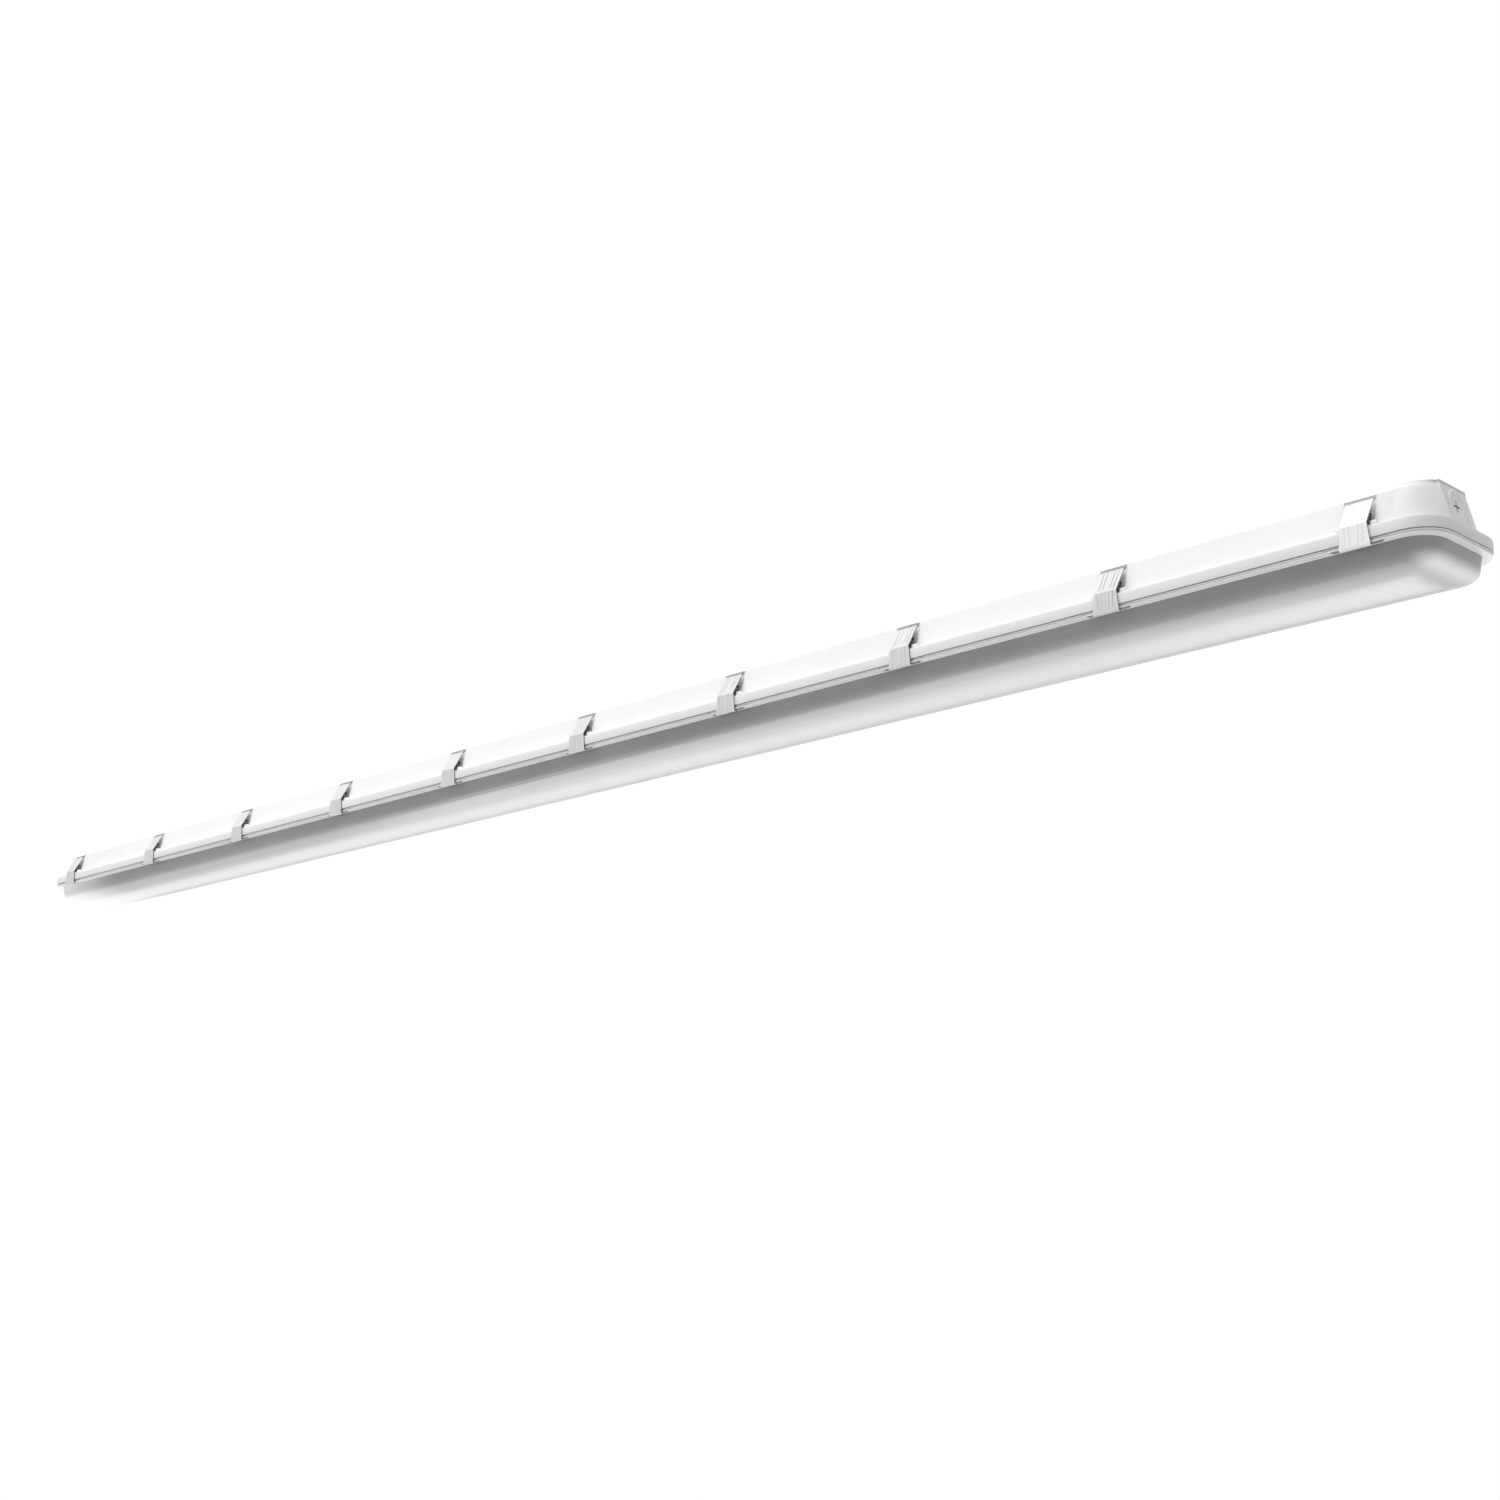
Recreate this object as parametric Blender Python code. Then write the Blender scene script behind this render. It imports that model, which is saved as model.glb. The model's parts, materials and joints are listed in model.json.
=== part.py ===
"""Eight foot vapor tight light fixture.

A moulded housing hangs from the ceiling by its flat top. Its rim holds a seal in a channel,
the diffuser's tongue presses into that seal, and ten toggle latches on each side pull the
diffuser up. Inside, a steel tray carries the light boards below and the driver above.

Metres, +Z up. The origin is the centre of the housing's top face, X runs along the fixture.
"""
import math

import bmesh
import bpy
from mathutils import Matrix, Vector

# Driving dimensions of the whole fixture
RIM_LENGTH = 2.3914
RIM_WIDTH = 0.129
RIM_CORNER_RADIUS = 0.033
RIM_HEIGHT = 0.0109
HOUSING_RISE = 0.0401
LENS_DROP = 0.0252
LATCHES_PER_SIDE = 10
LATCH_END_MARGIN = 0.0707

# Clearances
SEAT_GAP = 0.0003
PIVOT_GAP = 0.0003
CUT_OVERRUN = 0.002
BOND = 0.0006
MIDWAY_ROUND_SHARE = 1 - math.sqrt(0.5)
MERGE_DISTANCE = 0.0000001

# Housing shell, each ring from the top as side inset, end inset, drop and corner radius
SHELL_TOP = (0.0365, 0.0175, 0.0, 0.008)
SHELL_BROW = (0.0315, 0.0165, 0.0006, 0.016)
SHELL_CROWN = (0.0215, 0.0150, 0.0033, 0.030)
SHELL_SHOULDER = (0.0145, 0.0090, 0.0097, 0.043)
SHELL_FOOT = (0.0076, 0.0022, HOUSING_RISE, 0.050)
WALL = 0.0036
INSIDE_DROPS = (0.0015, 0.0012, 0.0024, 0.0030)
RIM_EDGE = 0.0018
RIM_LIP = 0.0021
CHANNEL_WIDTH = 0.0055
CHANNEL_DEPTH = 0.0070
CORNER_SEGMENTS = 8

# Entry hub, a flat face let into each rounded end of the housing
HUB_WIDTH = 0.046
HUB_TOP_INSET = 0.0136
HUB_FOOT_INSET = 0.0094
HUB_TOP_DROP = 0.0006
HUB_ROOT_INSET = 0.020
HUB_SILL_INSET = 0.0046
HUB_SILL_THICKNESS = 0.0035
PAD_WIDTH = 0.024
PAD_RISE = 0.0007
PAD_TOP_DROP = 0.0042
PAD_SEGMENTS = 12
MARK_LENGTH = 0.0110
MARK_HEIGHT = 0.0110
MARK_WIDTH = 0.0018
MARK_DEPTH = 0.0022
MARK_DROP = 0.0196

# Pocket behind each latch in the housing's side wall
POCKET_WIDTH = 0.030
POCKET_DEPTH = 0.0024
POCKET_RAMP_HEIGHT = 0.0028

# Diffuser
FLANGE_INSET = 0.0012
FLANGE_HEIGHT = 0.0036
FLANGE_EDGE_HEIGHT = 0.0018
FLANGE_GROOVE_DEPTH = 0.0012
FLANGE_GROOVE_HEIGHT = 0.0009
LENS_INSET = 0.0085
LENS_WALL = 0.0018
LENS_LEAN = 0.0020
LENS_CORNER_RADIUS = 0.0277
LENS_KNEE_RADIUS = 0.0100
LENS_KNEE_SEGMENTS = 5
LENS_CROWN_DEGREES = 14.3
LENS_CROWN_WIDTH = 0.0465
LENS_CROWN_SEGMENTS = 5
LENS_CROWN_CORNER_RADIUS = 0.006
TONGUE_WIDTH = 0.0016
TONGUE_HEIGHT = 0.0030
CATCH_LENGTH = 0.055
CATCH_FOOT_LENGTH = 0.043
CATCH_REACH = 0.0008
CATCH_DROP = 0.0014
CATCH_SLOT_LENGTH = 0.060
CATCH_SLOT_HEIGHT = 0.0018
CATCH_SLOT_DEPTH = 0.0024

# Seal
SEAL_SIDE_GAP = 0.0004

# Latch: the lever is one bent sheet, the bail one bent wire
PLATE = 0.0009
PLATE_GAP = 0.0007
LEVER_TOP_WIDTH = 0.0262
LEVER_NECK_WIDTH = 0.0246
LEVER_FOOT_WIDTH = 0.0288
LEVER_HOOK_WIDTH = 0.0276
LEVER_BEND_HEIGHT = 0.0027
LEVER_RISE = 0.0266
LEVER_TOP_INSET = 0.0131
LEVER_LIP_OUT = 0.0008
LEVER_LIP_UP = 0.0010
HOOK_REACH = 0.0034
GROOVE_WIDTH = 0.0012
GROOVE_DEPTH = 0.0004
GROOVE_SPACING = 0.0042
GROOVE_PAIR_SPACING = 0.0125
GROOVE_END_MARGIN = 0.0035
GROOVE_TOP_MARGIN = 0.0016
DOT_RADIUS = 0.0011
DOT_SEGMENTS = 6
WIRE_RADIUS = 0.0008
WIRE_SIDES = 8
WIRE_BEND = 0.0010
BAIL_LENGTH = 0.0101
BAIL_LEAN_DEGREES = 13.8
BAIL_END = 0.0032
BAIL_SIDE_GAP = 0.0006
PIVOT_INSET = 0.0047
PIVOT_HEIGHT = 0.0022
LUG_SPACING = 0.0320
LUG_WIDTH = 0.0047
LUG_THICKNESS = 0.0050
LUG_SEGMENTS = 6
LUG_HOLE_DEPTH = 0.0040
EAR_THICKNESS = 0.0009
EAR_RADIUS = 0.0019
EAR_SPACING = 0.0180
EAR_SEGMENTS = 6

# Tray, boards, driver and terminal block
TRAY_SHEET = 0.0010
TRAY_END_GAP = 0.036
TRAY_SIDE_GAP = 0.0055
TRAY_SIDE_HEIGHT = 0.012
TRAY_FACE_DROP = 0.0010
BOSS_RADIUS = 0.0042
BOSS_SEGMENTS = 16
BOSS_COUNT = 4
BOSS_END_MARGIN = 0.035
BOSS_ROW_GAP = 0.0080
SCREW_RADIUS = 0.0016
SCREW_HEAD_RADIUS = 0.0034
SCREW_HEAD_HEIGHT = 0.0022
SCREW_SHANK = 0.010
SCREW_SLOT_WIDTH = 0.0008
SCREW_SLOT_DEPTH = 0.0010
SCREW_SEGMENTS = 16
BOARD_COUNT = 4
BOARD_THICKNESS = 0.0016
BOARD_WIDTH = 0.044
BOARD_GAP = 0.004
BOARD_END_MARGIN = 0.060
CHIPS_PER_ROW = 8
CHIP_SIZE = 0.0030
CHIP_HEIGHT = 0.0007
CHIP_ROW_SPACING = 0.020
DRIVER_LENGTH = 0.240
DRIVER_WIDTH = 0.043
DRIVER_HEIGHT = 0.024
DRIVER_TAB = 0.012
DRIVER_TAB_THICKNESS = 0.0012
DRIVER_X = 0.330
DRIVER_SCREW_SHANK = 0.0020
TERMINAL_LENGTH = 0.020
TERMINAL_WIDTH = 0.030
TERMINAL_HEIGHT = 0.014
TERMINAL_WAYS = 3
TERMINAL_PORT = 0.0044
TERMINAL_PORT_DEPTH = 0.006
TERMINAL_END_MARGIN = 0.090

# Levels and outlines worked out from the values above
HALF_LENGTH = RIM_LENGTH / 2
HALF_WIDTH = RIM_WIDTH / 2
LEDGE_Z = -HOUSING_RISE
RIM_BOTTOM_Z = LEDGE_Z - RIM_HEIGHT
CHANNEL_TOP_Z = RIM_BOTTOM_Z + CHANNEL_DEPTH
FLANGE_TOP_Z = RIM_BOTTOM_Z - SEAT_GAP
FLANGE_BOTTOM_Z = FLANGE_TOP_Z - FLANGE_HEIGHT
LENS_BOTTOM_Z = FLANGE_BOTTOM_Z - LENS_DROP
LATCH_PITCH = (RIM_LENGTH - 2 * LATCH_END_MARGIN) / (LATCHES_PER_SIDE - 1)
CHANNEL_INNER_INSET = RIM_LIP + CHANNEL_WIDTH
INNER_WALL_INSET = CHANNEL_INNER_INSET + RIM_LIP
CEILING_Z = -WALL
INNER_STEP_Z = CHANNEL_TOP_Z + SEAT_GAP
TRAY_FACE_Z = RIM_BOTTOM_Z - TRAY_FACE_DROP
TRAY_TOP_Z = TRAY_FACE_Z + TRAY_SHEET
TRAY_HALF_LENGTH = HALF_LENGTH - INNER_WALL_INSET - TRAY_END_GAP
TRAY_HALF_WIDTH = HALF_WIDTH - INNER_WALL_INSET - TRAY_SIDE_GAP
SHELF_Z = TRAY_TOP_Z + SEAT_GAP
LUG_INNER = (LUG_SPACING - LUG_WIDTH) / 2
LUG_PIVOT = (HALF_WIDTH - PIVOT_INSET, LEDGE_Z + PIVOT_HEIGHT)
BAIL_LEAN = math.radians(BAIL_LEAN_DEGREES)
LEVER_PIVOT = (LUG_PIVOT[0] - BAIL_LENGTH * math.sin(BAIL_LEAN),
               LUG_PIVOT[1] + BAIL_LENGTH * math.cos(BAIL_LEAN))


def clear_scene():
    for obj in list(bpy.data.objects):
        bpy.data.objects.remove(obj, do_unlink=True)


def material(name, color, roughness, metallic=0.0, transmission=0.0):
    mat = bpy.data.materials.new(name)
    mat.use_nodes = True
    shader = mat.node_tree.nodes["Principled BSDF"]
    shader.inputs["Base Color"].default_value = (*color, 1.0)
    shader.inputs["Roughness"].default_value = roughness
    shader.inputs["Metallic"].default_value = metallic
    shader.inputs["Transmission Weight"].default_value = transmission
    return mat


def make_object(name, bm, mat, location=(0.0, 0.0, 0.0)):
    bmesh.ops.remove_doubles(bm, verts=bm.verts, dist=MERGE_DISTANCE)
    bmesh.ops.recalc_face_normals(bm, faces=bm.faces)
    mesh = bpy.data.meshes.new(name)
    bm.to_mesh(mesh)
    bm.free()
    mesh.materials.append(mat)
    obj = bpy.data.objects.new(name, mesh)
    obj.location = location
    bpy.context.collection.objects.link(obj)
    return obj


def copy_object(source, name, location):
    obj = bpy.data.objects.new(name, source.data.copy())
    obj.location = location
    bpy.context.collection.objects.link(obj)
    return obj


def outline(half_x, half_y, radius, z):
    """Rounded rectangle, counterclockwise from the +X end's lower corner."""
    points = []
    for quarter, (sx, sy) in enumerate(((1, -1), (1, 1), (-1, 1), (-1, -1))):
        start = -math.pi / 2 + quarter * math.pi / 2
        for step in range(CORNER_SEGMENTS + 1):
            angle = start + step * math.pi / 2 / CORNER_SEGMENTS
            x = sx * (half_x - radius) + radius * math.cos(angle)
            y = sy * (half_y - radius) + radius * math.sin(angle)
            points.append(Vector((x, y, z)))
    return points


def inset_outline(inset, z, radius=RIM_CORNER_RADIUS):
    return outline(HALF_LENGTH - inset, HALF_WIDTH - inset, radius - inset, z)


def shell_ring(ring, inward=0.0, lower=0.0):
    """One ring of the housing's shell, moved inward and down for the inside surface."""
    side, end, drop, radius = ring
    return outline(HALF_LENGTH - end - inward, HALF_WIDTH - side - inward,
                   radius - inward, -drop - lower)


def wall_y(z):
    """How far out the housing's side wall is at a level between its shoulder and its foot."""
    shoulder_inset, _, shoulder_drop, _ = SHELL_SHOULDER
    foot_inset, _, foot_drop, _ = SHELL_FOOT
    share = (-z - shoulder_drop) / (foot_drop - shoulder_drop)
    return HALF_WIDTH - shoulder_inset - (foot_inset - shoulder_inset) * share


def add_loft(bm, rings, closed=False):
    """Skin a list of rings with equal point counts, capped at both ends unless closed."""
    loops = [[bm.verts.new(point) for point in ring] for ring in rings]
    count = len(rings[0])
    pairs = list(zip(loops, loops[1:]))
    if closed:
        pairs.append((loops[-1], loops[0]))
    for lower, upper in pairs:
        for i in range(count):
            j = (i + 1) % count
            bm.faces.new((lower[i], lower[j], upper[j], upper[i]))
    if not closed:
        bm.faces.new(list(reversed(loops[0])))
        bm.faces.new(loops[-1])


def loft(rings, closed=False):
    bm = bmesh.new()
    add_loft(bm, rings, closed)
    return bm


def add_box(bm, low, high):
    """Box between two opposite corners, in any order."""
    low, high = Vector(low), Vector(high)
    size = [abs(b - a) for a, b in zip(low, high)]
    matrix = Matrix.Translation((low + high) / 2) @ Matrix.Diagonal((*size, 1.0))
    bmesh.ops.create_cube(bm, size=1.0, matrix=matrix)


def add_cylinder(bm, start, end, radius, segments):
    """Cylinder from start to end."""
    start = Vector(start)
    axis = Vector(end) - start
    turn = Vector((0, 0, 1)).rotation_difference(axis).to_matrix().to_4x4()
    matrix = Matrix.Translation(start + axis / 2) @ turn
    bmesh.ops.create_cone(bm, cap_ends=True, segments=segments, radius1=radius,
                          radius2=radius, depth=axis.length, matrix=matrix)


def apply_boolean(obj, tool_bm, operation):
    """Add or cut the closed bodies in tool_bm, which is in obj's own coordinates."""
    bmesh.ops.recalc_face_normals(tool_bm, faces=tool_bm.faces)
    mesh = bpy.data.meshes.new("tool")
    tool_bm.to_mesh(mesh)
    tool_bm.free()
    tool = bpy.data.objects.new("tool", mesh)
    tool.location = obj.location
    bpy.context.collection.objects.link(tool)
    modifier = obj.modifiers.new("boolean", "BOOLEAN")
    modifier.operation = operation
    modifier.solver = "EXACT"
    modifier.object = tool
    depsgraph = bpy.context.evaluated_depsgraph_get()
    result = bpy.data.meshes.new_from_object(obj.evaluated_get(depsgraph))
    obj.modifiers.clear()
    old = obj.data
    obj.data = result
    bpy.data.meshes.remove(old)
    bpy.data.objects.remove(tool, do_unlink=True)


def latch_places():
    """Name, X place and side (-1 front, +1 back) of each latch."""
    places = []
    for side_name, side in (("front", -1), ("back", 1)):
        for index in range(LATCHES_PER_SIDE):
            x = (index - (LATCHES_PER_SIDE - 1) / 2) * LATCH_PITCH
            places.append((f"{side_name}_{index + 1:02d}", x, side))
    return places


def boss_places():
    """The tray's screw places, alternating either side of the boards."""
    row_y = BOARD_WIDTH / 2 + BOSS_ROW_GAP
    reach = TRAY_HALF_LENGTH - BOSS_END_MARGIN
    places = []
    for index in range(BOSS_COUNT):
        x = -reach + 2 * reach * index / (BOSS_COUNT - 1)
        side = -1 if index % 2 == 0 else 1
        places.append((x, side * row_y))
    return places


def driver_screw_places():
    """The driver's screw places, one on each end tab."""
    reach = (DRIVER_LENGTH + DRIVER_TAB) / 2
    return [(DRIVER_X - reach, 0.0), (DRIVER_X + reach, 0.0)]


def hub_frame(end):
    """Top middle and foot middle of a hub's leaning face, with its outward and down directions."""
    top = Vector((end * (HALF_LENGTH - HUB_TOP_INSET), 0, -HUB_TOP_DROP))
    foot = Vector((end * (HALF_LENGTH - HUB_FOOT_INSET), 0, LEDGE_Z - BOND))
    down = (foot - top).normalized()
    outward = Vector((end * -down.z, 0, end * down.x)).normalized()
    return top, foot, outward, down


def hub_section(end, half_width, low, high):
    """Four corners of the hub's face plane between two levels."""
    top, foot, _, _ = hub_frame(end)
    corners = []
    for y, z in ((-half_width, high), (-half_width, low), (half_width, low), (half_width, high)):
        share = (z - top.z) / (foot.z - top.z)
        corners.append(Vector((top.x + (foot.x - top.x) * share, y, z)))
    return corners


def hub_body(end):
    """Solid behind the hub's face."""
    face = hub_section(end, HUB_WIDTH / 2, LEDGE_Z - BOND, -HUB_TOP_DROP)
    root = end * (HALF_LENGTH - HUB_ROOT_INSET)
    return loft([[Vector((root, p.y, p.z)) for p in face], face])


def hub_sill(end):
    """Shelf that closes the foot of the recess in front of the hub's face."""
    bm = bmesh.new()
    top = LEDGE_Z + BOND
    half = HUB_WIDTH / 2 + BOND
    add_box(bm, (end * (HALF_LENGTH - HUB_ROOT_INSET + BOND), -half, top - HUB_SILL_THICKNESS),
            (end * (HALF_LENGTH - HUB_SILL_INSET), half, top))
    return bm


def hub_recess(end):
    """Cutter for the rounded end, a little behind the hub's face and narrower than the hub."""
    face = hub_section(end, HUB_WIDTH / 2 - BOND, LEDGE_Z + BOND / 2, CUT_OVERRUN)
    beyond = end * (HALF_LENGTH + CUT_OVERRUN)
    return loft([[p - Vector((end * BOND / 2, 0, 0)) for p in face],
                 [Vector((beyond, p.y, p.z)) for p in face]])


def pocket_body(x, side):
    """Cutter for one latch's pocket: a sloping top under the shoulder, then a floor along the wall."""
    high = -SHELL_SHOULDER[2] - BOND
    ramp = high - POCKET_RAMP_HEIGHT
    low = LEDGE_Z + BOND
    start = Vector((wall_y(high), high))
    corner = Vector((wall_y(ramp) - POCKET_DEPTH, ramp))
    beyond = start + (start - corner)
    section = [beyond, corner, Vector((wall_y(low) - POCKET_DEPTH, low)),
               Vector((HALF_WIDTH, low))]
    return [[Vector((x + end * POCKET_WIDTH / 2, side * p.x, p.y)) for p in section]
            for end in (-1, 1)]


def pad_body(end):
    """Raised pad with a round top that stands on the hub's face and runs down to the rim."""
    top, foot, outward, down = hub_frame(end)
    radius = PAD_WIDTH / 2
    across = Vector((0, 1, 0))
    centre = top + down * (PAD_TOP_DROP + radius)
    points = []
    for step in range(PAD_SEGMENTS + 1):
        angle = math.pi * step / PAD_SEGMENTS
        points.append(centre + across * radius * math.cos(angle) - down * radius * math.sin(angle))
    points.append(foot - across * radius)
    points.append(foot + across * radius)
    return loft([[p - outward * PAD_RISE for p in points], [p + outward * PAD_RISE for p in points]])


def mark_body(end):
    """Cutter for the moulded cross on the pad."""
    top, _, outward, down = hub_frame(end)
    across = Vector((0, 1, 0))
    centre = top + down * MARK_DROP + outward * PAD_RISE
    bar = MARK_WIDTH / 2
    points = []
    for along, side, reach in ((across, down, MARK_LENGTH / 2), (down, -across, MARK_HEIGHT / 2),
                               (-across, -down, MARK_LENGTH / 2), (-down, across, MARK_HEIGHT / 2)):
        points += [centre + along * reach - side * bar, centre + along * reach + side * bar,
                   centre + along * bar + side * bar]
    return loft([[p - outward * MARK_DEPTH for p in points],
                 [p + outward * MARK_DEPTH for p in points]])


def add_lug(bm, x_start, x_end, side):
    """Round-topped lug on the ledge for one end of a bail."""
    y, z = LUG_PIVOT
    radius = LUG_THICKNESS / 2
    section = [(y - radius, LEDGE_Z - BOND)]
    for step in range(LUG_SEGMENTS + 1):
        angle = math.pi * step / LUG_SEGMENTS
        section.append((y - radius * math.cos(angle), z + radius * math.sin(angle)))
    section.append((y + radius, LEDGE_Z - BOND))
    add_loft(bm, [[(x, side * v, w) for v, w in section] for x in (x_start, x_end)])


def build_housing(mat):
    rings = [shell_ring(ring) for ring in
             (SHELL_TOP, SHELL_BROW, SHELL_CROWN, SHELL_SHOULDER, SHELL_FOOT)]
    rings += [
        inset_outline(RIM_EDGE, LEDGE_Z),
        inset_outline(RIM_EDGE * MIDWAY_ROUND_SHARE, LEDGE_Z - RIM_EDGE * MIDWAY_ROUND_SHARE),
        inset_outline(0, LEDGE_Z - RIM_EDGE),
        inset_outline(0, RIM_BOTTOM_Z),
        inset_outline(RIM_LIP, RIM_BOTTOM_Z),
        inset_outline(RIM_LIP, CHANNEL_TOP_Z),
        inset_outline(CHANNEL_INNER_INSET, CHANNEL_TOP_Z),
        inset_outline(CHANNEL_INNER_INSET, RIM_BOTTOM_Z),
        inset_outline(INNER_WALL_INSET, RIM_BOTTOM_Z),
        inset_outline(INNER_WALL_INSET, INNER_STEP_Z),
    ]
    rings += [shell_ring(ring, WALL, lower) for ring, lower in
              zip((SHELL_FOOT, SHELL_SHOULDER, SHELL_CROWN, SHELL_BROW), INSIDE_DROPS)]
    housing = make_object("housing", loft(rings), mat)

    pockets = bmesh.new()
    for _, x, side in latch_places():
        add_loft(pockets, pocket_body(x, side))
    apply_boolean(housing, pockets, "DIFFERENCE")
    lugs = bmesh.new()
    for _, x, side in latch_places():
        for end in (-1, 1):
            add_lug(lugs, x + end * LUG_INNER, x + end * (LUG_INNER + LUG_WIDTH), side)
    for x, y in boss_places():
        add_cylinder(lugs, (x, y, CEILING_Z + BOND), (x, y, SHELF_Z), BOSS_RADIUS, BOSS_SEGMENTS)
    apply_boolean(housing, lugs, "UNION")
    for end in (-1, 1):
        apply_boolean(housing, hub_recess(end), "DIFFERENCE")
        apply_boolean(housing, hub_body(end), "UNION")
        apply_boolean(housing, hub_sill(end), "UNION")
        apply_boolean(housing, pad_body(end), "UNION")
        apply_boolean(housing, mark_body(end), "DIFFERENCE")

    holes = bmesh.new()
    y_pivot, z_pivot = LUG_PIVOT
    for _, x, side in latch_places():
        for end in (-1, 1):
            face = x + end * LUG_INNER
            add_cylinder(holes, (face - end * CUT_OVERRUN, side * y_pivot, z_pivot),
                         (face + end * LUG_HOLE_DEPTH, side * y_pivot, z_pivot),
                         WIRE_RADIUS + PIVOT_GAP, WIRE_SIDES)
    for x, y in boss_places():
        add_cylinder(holes, (x, y, SHELF_Z - CUT_OVERRUN), (x, y, SHELF_Z + SCREW_SHANK),
                     SCREW_RADIUS + PIVOT_GAP, SCREW_SEGMENTS)
    apply_boolean(housing, holes, "DIFFERENCE")
    return housing


def build_seal(mat):
    outer = RIM_LIP + SEAL_SIDE_GAP
    inner = CHANNEL_INNER_INSET - SEAL_SIDE_GAP
    top = CHANNEL_TOP_Z - SEAT_GAP
    bottom = FLANGE_TOP_Z + TONGUE_HEIGHT + SEAT_GAP
    rings = [inset_outline(outer, top), inset_outline(outer, bottom),
             inset_outline(inner, bottom), inset_outline(inner, top)]
    return make_object("seal", loft(rings, closed=True), mat)


def lens_profile(offset):
    """Inward shift and level of the diffuser's surface, from its wall to its crown's middle."""
    radius = LENS_KNEE_RADIUS - offset
    crown = math.radians(LENS_CROWN_DEGREES)
    sweep = math.pi / 2 - crown
    knee_end_z = LENS_BOTTOM_Z + offset + LENS_CROWN_WIDTH * math.tan(crown) / 2
    knee_centre_z = knee_end_z + radius * math.sin(sweep)
    profile = []
    for step in range(LENS_KNEE_SEGMENTS + 1):
        angle = sweep * step / LENS_KNEE_SEGMENTS
        shift = LENS_LEAN + LENS_KNEE_RADIUS - radius * math.cos(angle)
        profile.append((shift, knee_centre_z - radius * math.sin(angle)))
    knee_shift = profile[-1][0]
    run = HALF_WIDTH - LENS_INSET - knee_shift - LENS_CROWN_CORNER_RADIUS
    for step in range(1, LENS_CROWN_SEGMENTS + 1):
        share = step / LENS_CROWN_SEGMENTS
        fall = (knee_end_z - LENS_BOTTOM_Z - offset) * (1 - (1 - share) ** 2)
        profile.append((knee_shift + run * share, knee_end_z - fall))
    return profile


def lens_ring(shift, z):
    radius = max(LENS_CORNER_RADIUS - shift, LENS_CROWN_CORNER_RADIUS)
    inset = LENS_INSET + shift
    return outline(HALF_LENGTH - inset, HALF_WIDTH - inset, radius, z)


def build_diffuser(mat):
    edge_z = FLANGE_TOP_Z - FLANGE_EDGE_HEIGHT
    groove_z = edge_z - FLANGE_GROOVE_HEIGHT
    groove = FLANGE_INSET + FLANGE_GROOVE_DEPTH
    tongue_middle = RIM_LIP + CHANNEL_WIDTH / 2
    tongue_z = FLANGE_TOP_Z + TONGUE_HEIGHT
    rings = [lens_ring(shift, z) for shift, z in reversed(lens_profile(0))]
    rings += [
        lens_ring(0, FLANGE_BOTTOM_Z),
        inset_outline(FLANGE_INSET, FLANGE_BOTTOM_Z),
        inset_outline(FLANGE_INSET, groove_z),
        inset_outline(groove, groove_z),
        inset_outline(groove, edge_z),
        inset_outline(FLANGE_INSET, edge_z),
        inset_outline(FLANGE_INSET, FLANGE_TOP_Z),
        inset_outline(tongue_middle - TONGUE_WIDTH / 2, FLANGE_TOP_Z),
        inset_outline(tongue_middle - TONGUE_WIDTH / 2, tongue_z),
        inset_outline(tongue_middle + TONGUE_WIDTH / 2, tongue_z),
        inset_outline(tongue_middle + TONGUE_WIDTH / 2, FLANGE_TOP_Z),
        inset_outline(INNER_WALL_INSET, FLANGE_TOP_Z),
        inset_outline(INNER_WALL_INSET, FLANGE_TOP_Z - LENS_WALL),
        lens_ring(LENS_WALL, FLANGE_TOP_Z - LENS_WALL - LENS_WALL),
    ]
    rings += [lens_ring(shift, z) for shift, z in lens_profile(LENS_WALL)]
    diffuser = make_object("diffuser", loft(rings), mat)
    slots = bmesh.new()
    slot_inner = HALF_WIDTH - FLANGE_INSET - CATCH_SLOT_DEPTH
    for _, x, side in latch_places():
        add_box(slots, (x - CATCH_SLOT_LENGTH / 2, side * slot_inner, groove_z),
                (x + CATCH_SLOT_LENGTH / 2, side * (HALF_WIDTH + CUT_OVERRUN),
                 groove_z + CATCH_SLOT_HEIGHT))
    apply_boolean(diffuser, slots, "DIFFERENCE")
    catches = bmesh.new()
    outer = HALF_WIDTH - FLANGE_INSET + CATCH_REACH
    inner = slot_inner - BOND
    for _, x, side in latch_places():
        ends = []
        for length, z in ((CATCH_FOOT_LENGTH, FLANGE_BOTTOM_Z - CATCH_DROP), (CATCH_LENGTH, groove_z)):
            ends.append([(x + sx * length / 2, side * y, z)
                         for sx, y in ((-1, outer), (1, outer), (1, inner), (-1, inner))])
        add_loft(catches, ends)
    apply_boolean(diffuser, catches, "UNION")
    return diffuser


def sheet_offsets(points, thickness):
    """Points of a bent sheet's other face, mitred at each bend, on the path's right side."""
    normals = []
    for start, end in zip(points, points[1:]):
        along = (Vector(end) - Vector(start)).normalized()
        normals.append(Vector((along.y, -along.x)))
    offsets = []
    for index, point in enumerate(points):
        before = normals[max(index - 1, 0)]
        after = normals[min(index, len(normals) - 1)]
        mitre = (before + after).normalized()
        offsets.append(Vector(point) + mitre * thickness / mitre.dot(before))
    return offsets


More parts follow.
